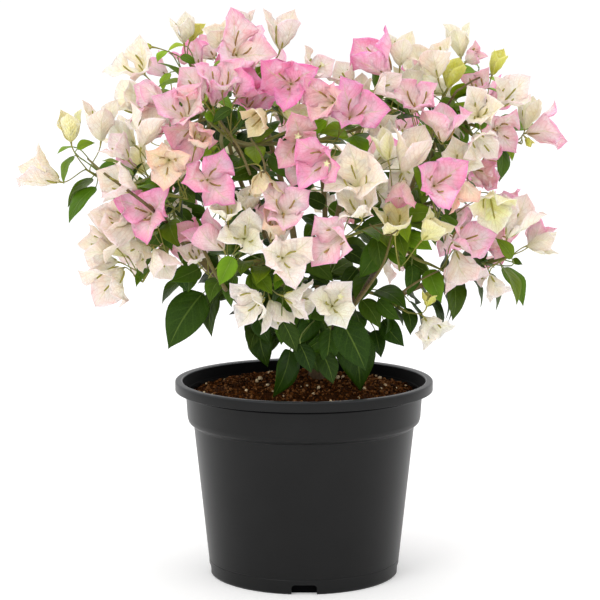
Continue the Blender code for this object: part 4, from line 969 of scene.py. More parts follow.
class Shape:
    """Gathers a piece's faces, with the places and colours that its finishes read."""

    def __init__(self) -> None:
        """Starts with no faces."""
        self.rows: list[Array] = []
        self.sheets: list[tuple[Array, int, bool]] = []
        self.total = 0

    def add_points(self, points: Array, places: Array, coat: Coat) -> int:
        """Adds points with what is read from them.

        Args:
            points: Positions in metres, one row each.
            places: Place across and along the blade or stem, from 0 to 1.
            coat: Their colours.

        Returns:
            Index of the first point.
        """
        self.rows.append(np.hstack((points, places, np.tile(np.concatenate(coat[1:]), (len(points), 1)))))
        self.total += len(points)
        return self.total - len(points)

    def add_faces(self, faces: Array, kind: int, smooth: bool = True) -> None:
        """Adds faces of one finish with as many corners each, shaded smooth or flat."""
        self.sheets.append((faces, kind, smooth))

    def add_sheet(self, grid: Array, thickness: float, coat: Coat) -> None:
        """Adds a thin closed sheet over a grid of points.

        Args:
            grid: Rows from foot to tip, each with points from side to side.
            thickness: Thickness in metres.
            coat: Its finish and colours.
        """
        rows, columns = grid.shape[:2]
        normals = unit_rows(np.cross(np.gradient(grid, axis=1), np.gradient(grid, axis=0)))
        layers = [(grid + normals * (side * thickness / 2)).reshape(-1, 3) for side in (1, -1)]
        places = np.tile(place_grid(rows, np.linspace(0, 1, columns)), (2, 1))
        below = rows * columns
        index = self.add_points(np.vstack(layers), places, coat) + np.arange(below).reshape(rows, columns)
        quads = np.stack((index[:-1, :-1], index[:-1, 1:], index[1:, 1:], index[1:, :-1]), axis=-1).reshape(-1, 4)
        self.add_faces(quads, coat.kind)
        self.add_faces(quads[:, ::-1] + below, coat.kind)
        edge = np.concatenate((index[0, :-1], index[:-1, -1], index[-1, :0:-1], index[:0:-1, 0]))
        after = np.roll(edge, -1)
        self.add_faces(np.stack((after, edge, edge + below, after + below), axis=-1), coat.kind, smooth=False)

    def add_rings(self, rings: Array, coat: Coat) -> None:
        """Adds a closed skin over a row of rings.

        Args:
            rings: The rings' points, counted alike in each.
            coat: Its finish, and its colours near the first and the last ring.
        """
        count, sides = rings.shape[:2]
        start = self.add_points(rings.reshape(-1, 3), place_grid(count, np.arange(sides) / sides), coat)
        index = start + np.arange(count * sides).reshape(count, sides)
        turned = np.roll(index, -1, axis=1)
        quads = np.stack((index[:-1], turned[:-1], turned[1:], index[1:]), axis=-1).reshape(-1, 4)
        for faces in (quads, index[:1, ::-1], index[-1:]):
            self.add_faces(faces, coat.kind)

    def add_stem(self, line: Line | Array, radii: Sequence[float], sides: int, coat: Coat) -> None:
        """Adds a round stem along a line, with no twist.

        Args:
            line: Points of its middle.
            radii: Radius at each point.
            sides: Number of sides.
            coat: Its finish, and its colours at the first and the last point.
        """
        points = np.array([tuple(point) for point in line])
        ways = unit_rows(np.gradient(points, axis=0))
        first = np.array((0.31, 0.22, 0.93) if sides < 6 else (0.12, 0.95, 0.28))
        firsts = []
        for way in (ways[0], *ways):
            first = first - way * first.dot(way)
            firsts.append(first / max(np.linalg.norm(first), 1e-9))
            first = firsts[-1]
        turns = tau * np.arange(sides)[:, None] / sides
        around = np.array(firsts[1:])[:, None] * np.cos(turns) + np.cross(ways, firsts[1:])[:, None] * np.sin(turns)
        self.add_rings(points[:, None] + around * np.asarray(radii)[:, None, None], coat)

    def piece(self, name: str, finishes: Sequence[Material]) -> Piece:
        """Makes the mesh object.

        Args:
            name: Name of the piece.
            finishes: Its materials, by the numbers that its faces hold.

        Returns:
            The object, linked to the scene.
        """
        rows = np.vstack(self.rows).astype(np.float32)
        loops = np.concatenate([faces.ravel() for faces, _, _ in self.sheets]).astype(np.int32)
        counts = [len(faces) for faces, _, _ in self.sheets]
        corners, kinds, smooth = (np.repeat(column, counts) for column in
                                  zip(*((faces.shape[1], kind, smooth) for faces, kind, smooth in self.sheets)))
        mesh = bpy.data.meshes.new(name)
        for finish in finishes:
            mesh.materials.append(finish)
        for items, key, values in ((mesh.vertices, "co", rows[:, :3]), (mesh.loops, "vertex_index", loops),
                                   (mesh.polygons, "loop_start", (np.cumsum(corners) - corners).astype(np.int32)),
                                   (mesh.polygons, "material_index", kinds.astype(np.int32)),
                                   (mesh.polygons, "use_smooth", smooth)):
            if not len(items):
                items.add(len(values))
            items.foreach_set(key, values.ravel())
        mesh.update(calc_edges=True)
        mesh.uv_layers.new(name="place").uv.foreach_set("vector", rows[loops, 3:5].ravel())
        for title, colours in (("inner", rows[:, 5:8]), ("outer", rows[:, 8:])):
            opaque = np.hstack((colours, np.ones((len(rows), 1), np.float32)))
            mesh.color_attributes.new(title, "FLOAT_COLOR", "POINT").data.foreach_set("color", opaque.ravel())
        return place_object(name, mesh)


def set_all(item: object, **values: object) -> object:
    """Sets properties of an item.

    Args:
        item: The item.
        values: Its properties by name.

    Returns:
        The item.
    """
    for key, value in values.items():
        setattr(item, key, value)
    return item


class Paint:
    """Adds nodes to one material and joins them."""

    def __init__(self, name: str, roughness: float, specular: float) -> None:
        """Starts a material with its shader.

        Args:
            name: Name of the material.
            roughness: Roughness of the whole surface.
            specular: Specular level of the whole surface.
        """
        self.material = bpy.data.materials.new(name)
        self.material.use_nodes = True
        self.shader = self.material.node_tree.nodes["Principled BSDF"]
        self.whole(Roughness=roughness, Specular_IOR_Level=specular)

    def whole(self, **values: object) -> None:
        """Sets the shader's own sockets by their names."""
        for name, value in values.items():
            self.put(value, self.shader.inputs[name.replace("_", " ")])

    def put(self, value: object, socket: Socket) -> None:
        """Joins a socket to another, or sets it to a number, vector or linear colour.

        Args:
            value: Socket, number, vector or colour.
            socket: The socket that takes it.
        """
        if isinstance(value, Socket):
            self.material.node_tree.links.new(value, socket)
        elif isinstance(value, (int, float)):
            socket.default_value = value
        else:
            socket.default_value = (*value, 1)[:len(socket.default_value)]

    def node(self, kind: str, output: int | str, inputs: dict[int | str, object], **settings: object) -> Socket:
        """Adds one node.

        Args:
            kind: Name of the node's kind.
            output: Which of its outputs is used.
            inputs: What goes into its inputs.
            settings: Its settings.

        Returns:
            The socket of the output.
        """
        node = set_all(self.material.node_tree.nodes.new("ShaderNode" + kind), **settings)
        for key, value in inputs.items():
            self.put(value, node.inputs[key])
        return node.outputs[output]

    def sum(self, operation: str, *values: object, clamp: bool = False) -> Socket:
        """Does a sum on sockets or numbers, kept between 0 and 1 where it is clamped."""
        return self.node("Math", 0, dict(enumerate(values)), operation=operation, use_clamp=clamp)

    def times(self, *values: object, clamp: bool = False) -> Socket:
        """Multiplies two values and adds the third, where there is one."""
        return self.sum(("MULTIPLY", "MULTIPLY_ADD")[len(values) - 2], *values, clamp=clamp)

    def line(self, value: object, width: object) -> Socket:
        """Gives one where a value is nought, and nought from a width on."""
        return self.sum("SUBTRACT", 1, self.sum("DIVIDE", value, width), clamp=True)

    def blend(self, share: object, first: object, second: object, way: str = "MIX") -> Socket:
        """Blends two colours by the share of the second."""
        return self.node("Mix", 2, {0: share, 6: first, 7: second}, data_type="RGBA", blend_type=way)

    def tint(self, title: str) -> Socket:
        """Reads a colour that the mesh holds."""
        return self.node("Attribute", "Color", {}, attribute_name=title)

    def split(self, vector: Socket) -> tuple[Socket, ...]:
        """Splits a vector into its three numbers."""
        return tuple(self.node("SeparateXYZ", 0, {0: vector}).node.outputs)

    def across_and_along(self) -> tuple[Socket, Socket]:
        """Reads how far from the midrib and how far along the blade a point lies, from 0 to 1."""
        aside, along, _ = self.split(self.node("UVMap", 0, {}, uv_map="place"))
        return self.sum("ABSOLUTE", self.times(aside, 2, -1)), along

    def in_space(self) -> Socket:
        """Reads the place in space."""
        return self.node("TexCoord", "Object", {})

    def on_blade(self, *scale: float) -> Socket:
        """Reads the place on the blade, stretched by a scale."""
        return self.node("Mapping", 0, {"Vector": self.node("UVMap", 0, {}, uv_map="place"), "Scale": scale})

    def noise(self, scale: float, detail: float = 2, place: Socket | None = None) -> Socket:
        """Adds noise of so many waves to a unit, with finer layers."""
        return self.node("TexNoise", 0, {"Scale": scale, "Detail": detail, "Vector": place or self.in_space()})

    def cells(self, *scale: float) -> Socket:
        """Adds a net of cells across and along the blade, as the distance to their edges."""
        inputs = {"Scale": 1, "Vector": self.on_blade(*scale)}
        return self.node("TexVoronoi", "Distance", inputs, feature="DISTANCE_TO_EDGE")

    def relief(self, height: Socket, strength: float, depth: float) -> None:
        """Raises the surface by a height, with a strength and a depth in metres."""
        self.whole(Normal=self.node("Bump", 0, {"Strength": strength, "Distance": depth, "Height": height}))

    def dress(self, colour: object) -> Material:
        """Sets the surface's colour and gives the finished material."""
        self.put(colour, self.shader.inputs["Base Color"])
        return self.material


@dataclass(frozen=True)
class BractFinish:
    """Papery bract: pale foot, strong margin, a midrib, side veins and a net between them."""

    name: str = "bract"
    roughness: float = 0.60
    glow: float = 0.90
    glow_depth: float = 0.0008

    def material(self) -> Material:
        """Makes the material.

        Returns:
            The material.
        """
        paint = Paint(self.name, self.roughness, 0.15)
        aside, along = paint.across_and_along()
        spread = paint.times(paint.times(aside, aside), 0.46, -0.30)
        spread = paint.times(along, 0.80, spread)
        spread = paint.times(paint.noise(80, 3), 0.46, spread)
        spread = paint.times(spread, 1.35, -0.25, clamp=True)
        colour = paint.blend(spread, paint.tint("inner"), paint.tint("outer"))
        colour = paint.blend(paint.times(paint.line(along, 0.24), 0.55), colour, linear((206, 212, 140)))
        steps = paint.times(aside, -2.4, paint.times(along, 8))
        wander = paint.noise(4, 1, paint.on_blade(2, 3, 1))
        wave = paint.sum("PINGPONG", paint.times(wander, 0.5, steps), 0.5)
        net = paint.times(paint.line(paint.cells(9, 12, 1), 0.09), 0.45)
        rib = paint.line(aside, paint.times(along, -0.05, 0.075))
        fine = paint.sum("MAXIMUM", paint.times(paint.line(wave, 0.10), 0.8), net)
        colour = paint.blend(paint.times(fine, 0.55), colour, linear((222, 190, 178)), "MULTIPLY")
        colour = paint.blend(paint.times(rib, 0.55), colour, linear((206, 204, 140)))
        paint.relief(paint.times(wave, 1.6, paint.sum("MAXIMUM", fine, rib)), 0.6, 0.0006)
        paint.whole(Subsurface_Weight=self.glow, Subsurface_Radius=(1, 1, 1), Subsurface_Scale=self.glow_depth)
        return paint.dress(colour)


@dataclass(frozen=True)
class LeafFinish:
    """Satin leaf with a pale midrib and pinnate veins."""

    name: str = "leaf"
    roughness: float = 0.44

    def material(self) -> Material:
        """Makes the material.

        Returns:
            The material.
        """
        paint = Paint(self.name, self.roughness, 0.12)
        aside, along = paint.across_and_along()
        share = paint.times(paint.noise(120, 3), 0.5, paint.times(aside, 0.55))
        colour = paint.blend(paint.sum("SUBTRACT", share, 0.12, clamp=True), paint.tint("inner"), paint.tint("outer"))
        wave = paint.times(aside, -1.9, paint.times(along, 6.5))
        wave = paint.sum("PINGPONG", wave, 0.5)
        side = paint.times(paint.line(wave, 0.10), paint.line(aside, 1.15))
        rib = paint.line(aside, 0.07)
        net = paint.line(paint.cells(16, 22, 1), 0.12)
        for mark, depth, shade in ((net, 0.08, (100, 138, 40)), (side, 0.12, (110, 146, 50)),
                                   (rib, 0.32, (134, 162, 68))):
            colour = paint.blend(paint.times(mark, depth), colour, linear(shade))
        paint.relief(paint.times(rib, -0.8, paint.times(wave, 1.2)), 0.55, 0.0006)
        return paint.dress(colour)


@dataclass(frozen=True)
class StemFinish:
    """Green or woody stem with fine streaks and pale specks."""

    name: str
    roughness: float
    streak: Colour
    streaks: float

    def material(self) -> Material:
        """Makes the material.

        Returns:
            The material.
        """
        paint = Paint(self.name, self.roughness, 0.3)
        _, along = paint.across_and_along()
        colour = paint.blend(along, paint.tint("inner"), paint.tint("outer"))
        cloud = paint.noise(450, 4)
        mark = paint.times(paint.times(cloud, 3.2, -1.1), self.streaks, clamp=True)
        colour = paint.blend(mark, colour, linear(self.streak))
        paint.relief(cloud, 0.5, 0.0008)
        return paint.dress(colour)


@dataclass(frozen=True)
class GrainFinish:
    """Rough grain whose colour comes from the mesh, with finer mottling on top."""

    name: str
    roughness: float
    grain: float
    depth: float

    def material(self) -> Material:
        """Makes the material.

        Returns:
            The material.
        """
        paint = Paint(self.name, self.roughness, 0.03)
        mottle = paint.noise(self.grain, 5)
        colour = paint.blend(mottle, paint.tint("inner"), paint.tint("outer"))
        paint.relief(mottle, 0.9, self.depth)
        return paint.dress(colour)


@dataclass(frozen=True)
class PotFinish:
    """Matt black plastic, a little worn, with painted light on the lip's top face and a painted highlight line round
    its inner edge.
    """

    name: str = "matt_black_plastic"
    roughness: float = 0.36
    specular: float = 0.17
    body: Colour = (17, 17, 17)
    worn: Colour = (32, 33, 34)
    # colour of the lip's top face: painted light, as if the top catches the light
    edge: Colour = (48, 50, 53)
    # colour of the painted highlight line round the lip's inner edge
    bright: Colour = (128, 131, 135)
    highlight_radius: float = 0.1186

    def material(self) -> Material:
        """Makes the material.

        Returns:
            The material.
        """
        paint = Paint(self.name, self.roughness, self.specular)
        colour = paint.blend(paint.times(paint.noise(28, 4), 0.35), linear(self.body), linear(self.worn))
        x, y, height = paint.split(paint.in_space())
        # painted light: the top of the lip takes the paler edge colour, and a painted highlight line runs round its
        # inner edge
        lip = paint.sum("SUBTRACT", height, POT_HEIGHT - 0.0016)
        lip = paint.times(lip, 900, clamp=True)
        colour = paint.blend(lip, colour, linear(self.edge))
        ring = paint.sum("SQRT", paint.times(x, x, paint.times(y, y)))
        line = paint.line(paint.sum("SUBTRACT", ring, self.highlight_radius), 0.0009)
        colour = paint.blend(paint.times(lip, line), colour, linear(self.bright))
        paint.relief(paint.noise(1500, 3), 0.25, 0.0001)
        return paint.dress(colour)


@dataclass(frozen=True)
class FloorFinish:
    """Plain pale floor."""

    name: str = "studio_floor"
    roughness: float = 0.9
    shade: Colour = (250, 250, 250)
    glow: float = 0.14

    def material(self) -> Material:
        """Makes the material.

        Returns:
            The material.
        """
        paint = Paint(self.name, self.roughness, 0)
        paint.whole(Emission_Color=(1, 1, 1, 1), Emission_Strength=self.glow)
        return paint.dress(linear(self.shade))


def hand_over(piece: Piece, nodes: Sequence[str] = ()) -> None:
    """Gives a piece to the frame and reports it.

    Args:
        piece: The piece.
        nodes: Solids that it stands for.
    """
    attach(piece, BODY)
    if nodes:
        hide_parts(*nodes)
    LOG.info("%s: %d faces", piece.name, len(piece.data.polygons))


def blade_steps(rows: int) -> Array:
    """Gives the shares of a blade's length that its rows lie at, closer at both ends."""
    step = np.linspace(0, 1, rows)[:, None]
    return 0.55 * step + 0.45 * (0.5 - 0.5 * np.cos(pi * step))


def spread_blade(middle: Array, aside: Array, up: Array, twist: Array, width: Array, lift: Array) -> Array:
    """Spreads a blade by a width and a lift from its middle line, turned about it by a twist."""
    side, rise = np.cos(twist) * aside + np.sin(twist) * up, np.cos(twist) * up - np.sin(twist) * aside
    return middle[:, None] + side[:, None] * width[..., None] + rise[:, None] * lift[..., None]


@dataclass
class WhorlMaker:
    """Bracts, flower tubes and pedicels of the whorls."""

    rows: int = 13
    columns: int = 11
    thickness: float = 0.00024
    width: float = 0.465
    tube_share: float = 0.62
    pedicel_sides: int = 6
    star_radius: float = 0.0034
    draw: random.Random = field(default_factory=lambda: random.Random(SEED + 3))
    shape: Shape = field(default_factory=Shape)

    def build(self, spray: Spray) -> Shape:
        """Builds a spray's stalk, and its whorls with their tubes and pedicels.

        Args:
            spray: The placed spray.

        Returns:
            Its closed skins.
        """
        shape = self.shape = Shape()
        line = smooth_line(spray.stalk, 3)
        shape.add_stem(line, np.linspace(STALK_RADIUS, 0.0008, len(line)), 8, toned(1, (112, 118, 44), (146, 144, 62)))
        for whorl in spray.whorls:
            first = across(whorl.axis, UP)
            for corner in range(3):
                turn = whorl.spin + tau * corner / 3 + self.draw.uniform(-0.07, 0.07)
                out = np.array(spoke(first, whorl.axis.cross(first), turn))
                light = self.draw.uniform(0.93, 1.05)
                shift = np.array((1, self.draw.uniform(0.93, 1.05), self.draw.uniform(0.95, 1.04)))
                shades = [np.clip(linear(colour) * light * shift, 0, 1) for colour in whorl.tint.value]
                shape.add_sheet(self.bract(whorl, out), self.thickness, Coat(0, *shades))
                self.add_flower(whorl, out, whorl.flowering and corner == 0)
            self.add_pedicel(whorl, (spray.stalk[0] - spray.stalk[-1]).normalized())
        return shape

    def bract(self, whorl: Whorl, out_way: Array) -> Array:
        """Works out the surface of one bract.

        Args:
            whorl: The placed whorl.
            out_way: Unit direction from the axis to the bract.

        Returns:
            Grid of points from foot to tip and from side to side.
        """
        draw = self.draw.uniform
        axis = np.array(whorl.axis)
        aside = np.cross(axis, out_way)
        openness = min(max((whorl.opening - 26) / 26, 0), 1)
        reach = whorl.reach * draw(0.94, 1.05)
        # how far it leans out, from its foot to its tip
        curl = -0.50 + 0.90 * openness + draw(-0.40, 0.30)
        fold = 0.42 - 0.06 * openness + draw(-0.10, 0.10)
        flick = draw(-0.2, 0.8)
        fine = np.linspace(0, 1, 41)
        start = radians(whorl.opening) * (0.94 - 0.16 * openness) + draw(-0.10, 0.10) * openness
        lean = start + curl * (fine - 0.40) + flick * np.clip(fine - 0.74, 0, None) / 0.26
        v = blade_steps(self.rows)
        out, ahead = (np.interp(v, fine, np.append(0, np.cumsum((way[1:] + way[:-1]) / 80)))
                      for way in (np.sin(lean), np.cos(lean)))
        lean = np.interp(v, fine, lean)
        sway = draw(-0.09, 0.09) * np.sin(pi * v * 0.9)
        middle = (np.array(whorl.hub) + out_way * (HUB_RADIUS / 2)
                  + reach * (out * out_way + ahead * axis + sway * aside))
        # half its width, which leaves its neighbours room near the foot
        half = self.width * draw(0.92, 1.08) * reach * np.sin(pi * v ** 0.72) ** (0.55 + 0.52 * v ** 3)
        half = half * (1 - 0.26 * np.clip((v - 0.66) / 0.34, 0, 1) * openness)
        lap = 1.60 + 0.75 * openness
        room = lap * (HUB_RADIUS / 2 + reach * out) / (1 + lap * fold * np.clip(np.cos(lean), 0, None)) + 0.0007
        half = half / (1 + (half / room) ** 5) ** 0.2
        half = np.maximum(half, np.interp(v, (0, 0.06, 1), (0.0005, 0.0003, 0.00018)))
        # folded up from its midrib, rippled at its margins and crumpled
        strength = 0.35 + 0.65 * openness
        twist = draw(-0.25, 0.25) * (v - 0.15) * strength
        u = np.linspace(-1, 1, self.columns)
        left, right = draw(0, tau), draw(0, tau)
        phases = np.where(u < 0, left, right)
        pace = np.where(u < 0, draw(1.3, 2.3), draw(1.3, 2.3))
        lift = fold * (0.5 * np.abs(u) + 0.5 * u ** 2) + 0.16 * openness * u - 0.035 * np.exp(-(u / 0.22) ** 2)
        lift = lift + draw(0.24, 0.46) * strength * u ** 2 * np.sin(tau * pace * v + phases)
        lift = lift + 0.12 * strength * np.abs(u) ** 3 * np.sin(tau * 2.3 * pace * v + phases * 2.3)
        crumple = 0.08 * np.sin(8 * v + 3.1 * u + left) + 0.05 * np.sin(15 * v - 6 * u + right)
        edge = 1 + 0.07 * np.sin(tau * 2.1 * v + phases * 1.7)
        return spread_blade(middle, aside, np.sin(lean) * axis - np.cos(lean) * out_way, twist, half * u * edge,
                            half * (lift + crumple * np.sin(pi * v)))

    def add_flower(self, whorl: Whorl, out_way: Array, star: bool) -> None:
        """Adds one slender flower tube.

        Args:
            whorl: The placed whorl.
            out_way: Unit direction from the axis to the tube's bract.
            star: Whether its small flower is open.
        """
        axis = np.array(whorl.axis)
        opening = radians(min(whorl.opening, 48))
        length = whorl.reach * self.tube_share * self.draw.uniform(0.85, 1.15)
        t = np.linspace(0, 1, 8)[:, None]
        angle = opening * 0.90 * (1 - t) ** 2 + opening * self.draw.uniform(0, 0.24)
        turn = self.draw.uniform(-0.25, 0.25) * t
        ways = (np.cos(angle) * axis
                + np.sin(angle) * (np.cos(turn) * out_way + np.sin(turn) * np.cross(axis, out_way)))
        line = np.array(whorl.hub) + out_way * 0.0012 + length * np.cumsum(ways, axis=0) / len(t)
        radii = np.interp(t[:, 0], (0, 0.12, 0.35, 0.65, 0.88, 1),
                          (0.0006, 0.00084, 0.00092, 0.00064, 0.00096, 0.0006))
        self.shape.add_stem(line, radii, 6, toned(1, *TUBE_TINTS[whorl.tint in PALE_TINTS]))
        if star:
            self.add_star(line[-1], ways[-1])

    def add_star(self, place: Array, way: Array) -> None:
        """Adds the small five-pointed flower at the end of a tube.

        Args:
            place: Where the tube ends.
            way: Unit direction that the flower faces.
        """
        first = np.array(across(Vector(way), Vector((0.2, 0.1, 0.9))))
        turns = tau * np.arange(20)[:, None] / 20
        dents = 0.30 * (np.cos(5 * turns) - 1)
        around = first * np.cos(turns) + np.cross(way, first) * np.sin(turns)
        rings = [place + around * (self.star_radius * radius * (1 + dents * min(radius * 1.1, 1))) + way * height
                 for radius, height in ((0.22, -0.0002), (0.6, 0.0002), (1, 0.0009), (1, 0.0011), (0.6, 0.0005),
                                        (0.2, 0.0001))]
        self.shape.add_rings(np.array(rings), toned(2, (216, 214, 140), (246, 240, 210)))

    def add_pedicel(self, whorl: Whorl, down: Vector) -> None:
        """Adds the thin stalk of a whorl.

        Args:
            whorl: The placed whorl.
            down: Unit direction down the spray's stalk.
        """
        foot, end = whorl.hub + whorl.axis * 0.0004, whorl.line[-1]
        line = bent_line(foot, -whorl.axis, end, ((end - foot).normalized() + down * 0.5).normalized(), 9, 0.24)
        radii = np.interp(np.linspace(0, 1, 9), (0, 0.10, 0.3, 1), (0.0011, 0.0007, 0.0005, 0.0006))
        self.shape.add_stem(line, radii, self.pedicel_sides, toned(1, (156, 150, 66), (118, 128, 44)))


@dataclass
class LeafMaker:
    """Leaf blades with their petioles."""

    rows: int = 14
    columns: int = 7
    thickness: float = 0.00034
    width: float = 0.31
    fold: float = 0.16
    draw: random.Random = field(default_factory=lambda: random.Random(SEED + 4))

    def add(self, shape: Shape, blade: Blade) -> None:
        """Adds one leaf.

        Args:
            shape: Gathers the faces.
            blade: The placed leaf.
        """
        coat = toned(1, *self.greens(blade))
        shape.add_sheet(self.surface(blade), self.thickness, coat)
        base = blade.line[0]
        along = (blade.tip - base).normalized()
        line = bent_line(base + along * 0.0012, -along, blade.line[-1], (blade.line[-1] - base).normalized(), 7, 0.26)
        radii = np.interp(np.linspace(0, 1, 7), (0, 0.8, 1), (0.00055, 0.0006, 0.0009))
        shape.add_stem(line, radii, 6, toned(0, (126, 158, 72), (104, 128, 60)))

    def greens(self, blade: Blade) -> tuple[Array, Array]:
        """Chooses a leaf's two greens: darker deep in the crown and low down, lighter outside, partly older and younger
        leaves and partly painted shade inside and painted light outside.

        Args:
            blade: The placed leaf.

        Returns:
            Colours at the midrib and at the margin, from 0 to 255.
        """
        # painted shade and light: greens darken with depth in the crown and towards its foot and lighten on the outer
        # leaves, on top of each leaf's age
        depth = ((blade.tip - CROWN_MIDDLE) * Vector([1 / half for half in CROWN_HALF])).length
        height = min(max((blade.tip.z - 0.20) / 0.30, 0), 1)
        green_lightness = 0.60 * (depth - 0.42) / 0.6 + 0.34 * height + self.draw.uniform(-0.20, 0.30)
        green_lightness = min(max(green_lightness * min(0.25 + 1.5 * height, 1), 0), 1) if blade.green_lightness is None else blade.green_lightness
        warm = self.draw.uniform(-1, 1)
        dark, light = np.array((20 + 4 * warm, 41, 0)), np.array((138 + 12 * warm, 174, 30))
        shade = dark + (light - dark) * green_lightness ** 1.15
        return shade * 0.90, shade * 1.10 + (5, 4, 0)

    def surface(self, blade: Blade) -> Array:
        """Works out the surface of one leaf blade.

        Args:
            blade: The placed leaf.

        Returns:
            Grid of points from foot to tip and from side to side.
        """
        draw = self.draw.uniform
        reach = blade.tip - blade.line[0]
        length, along = reach.length, reach.normalized()
        up = np.array(across(along, blade.facing))
        side = np.cross(along, up)
        v = blade_steps(self.rows)
        arch = draw(0.07, 0.13) * np.sin(0.9 * pi * v) - draw(0.09, 0.16) * v ** 2
        sway = draw(-0.05, 0.05) * np.sin(pi * v)
        middle = np.array(blade.line[0]) + length * (v * np.array(along) + arch * up + sway * side)
        half = self.width * draw(0.92, 1.06) * length * np.sin(pi * v ** 0.70) ** (0.62 + 0.45 * v ** 2)
        half = np.maximum(half, np.interp(v, (0, 0.06, 1), (0.0008, 0.0004, 0.0002)))
        twist = draw(-0.25, 0.25) * (v - 0.1)
        u = np.linspace(-1, 1, self.columns)
        phases = np.where(u < 0, draw(0, tau), draw(0, tau))
        ripple = draw(0.03, 0.09) * u ** 2 * np.sin(tau * 1.8 * v + phases)
        lift = (self.fold + draw(-0.08, 0.06)) * np.abs(u) ** 1.15 + ripple
        return spread_blade(middle, side, up, twist, half * u, half * lift)


@dataclass
class Crown:
    """Flowering crown: the sprays of bracts, and the branches with their twigs and leaves."""

    plant: Plant
    limb_sides: int = 12
    twig_sides: int = 8
    whorls: WhorlMaker = field(default_factory=WhorlMaker)
    leaves: LeafMaker = field(default_factory=LeafMaker)

    def build(self) -> None:
        """Builds every spray and branch and hands them over."""
        finishes = (BractFinish().material(), StemFinish("flower_stalk", 0.55, (120, 108, 66), 0.35).material(),
                    GrainFinish("flower_star", 0.6, 300, 0.0001).material())
        for name, spray in self.plant.sprays.items():
            piece = self.whorls.build(spray).piece("bloom_" + name, finishes)
            hand_over(piece, ("spray_" + name,))
        finishes = StemFinish("green_stem", 0.55, (118, 96, 66), 0.6).material(), LeafFinish().material()
        for name in LIMBS:
            hand_over(self.branch(name).piece("branch_" + name, finishes), ("limb_" + name,))

    def branch(self, name: str) -> Shape:
        """Builds one branch.

        Args:
            name: Name of the limb.

        Returns:
            The limb with its twigs and leaves.
        """
        shape = Shape()
        line = smooth_line(self.plant.limbs[name], 7)
        share = np.linspace(0, 1, len(line))
        radii = LIMB_RADIUS + (LIMB_TIP_RADIUS - LIMB_RADIUS) * share
        knots = 1 + 0.10 * np.clip(np.cos(share * tau * 9), 0.6, 1)
        shape.add_stem(line, radii * knots, self.limb_sides, toned(0, (80, 62, 36), (112, 104, 46)))
        for twig in self.plant.twigs[name]:
            curve = smooth_line([nearest(line, twig[0])] + twig[1:], 6)
            shape.add_stem(curve, np.linspace(TWIG_RADIUS * 1.15, STALK_RADIUS, len(curve)), self.twig_sides,
                           toned(0, (112, 104, 46), (120, 132, 46)))
        for blade in self.plant.leaves[name]:
            self.leaves.add(shape, blade)
        for limb, foot, top, lift, points in SHOWN_STEMS:
            if limb == name:
                curve = self.plant.hang_stem(name, lift, points)
                shape.add_stem(curve, np.linspace(foot, top, len(curve)), self.limb_sides,
                               toned(0, (62, 44, 22), (96, 96, 36)))
        return shape


def nearest(line: Line, place: Vector) -> Vector:
    """Gives the point of a line that lies nearest to a place."""
    return min(line, key=lambda point: (point - place).length)


@dataclass
class Trunk:
    """Short woody stem with the stub of each limb."""

    plant: Plant
    sides: int = 20
    rough: float = 0.10

    def build(self) -> None:
        """Builds the woody stem and hands it over."""
        shape = Shape()
        brown, grey = (72, 54, 36), (98, 80, 56)
        top = FORK_HIGH + 0.004
        heights = np.linspace(STEM_FOOT, top, 30)
        radii = STEM_RADIUS * np.interp(heights, (STEM_FOOT, 0.165, FORK_HIGH, top), (1, 0.98, 0.82, 0.45))
        turns = tau * np.arange(self.sides) / self.sides
        rings = []
        for height, radius in zip(heights, radii):
            bumps = [1 + self.rough * noise.noise(Vector((cos(t) * 1.6, sin(t) * 1.6, height * 90))) for t in turns]
            rings.append(round_points(turns, radius * np.array(bumps), height) + (STEM_X, 0, 0))
        shape.add_rings(np.array(rings), toned(0, brown, grey))
        for fork, end in self.plant.stubs:
            line = [fork.lerp(end, t) for t in (0, 0.25, 0.5, 0.75, 1)]
            shape.add_stem(line, (0.0044, 0.0042, 0.0037, LIMB_RADIUS * 1.02, LIMB_RADIUS), 12, toned(0, grey, brown))
        bark = StemFinish("bark", 0.85, (74, 58, 42), 0.9).material()
        hand_over(shape.piece("trunk_and_forks", (bark,)), ("trunk",))


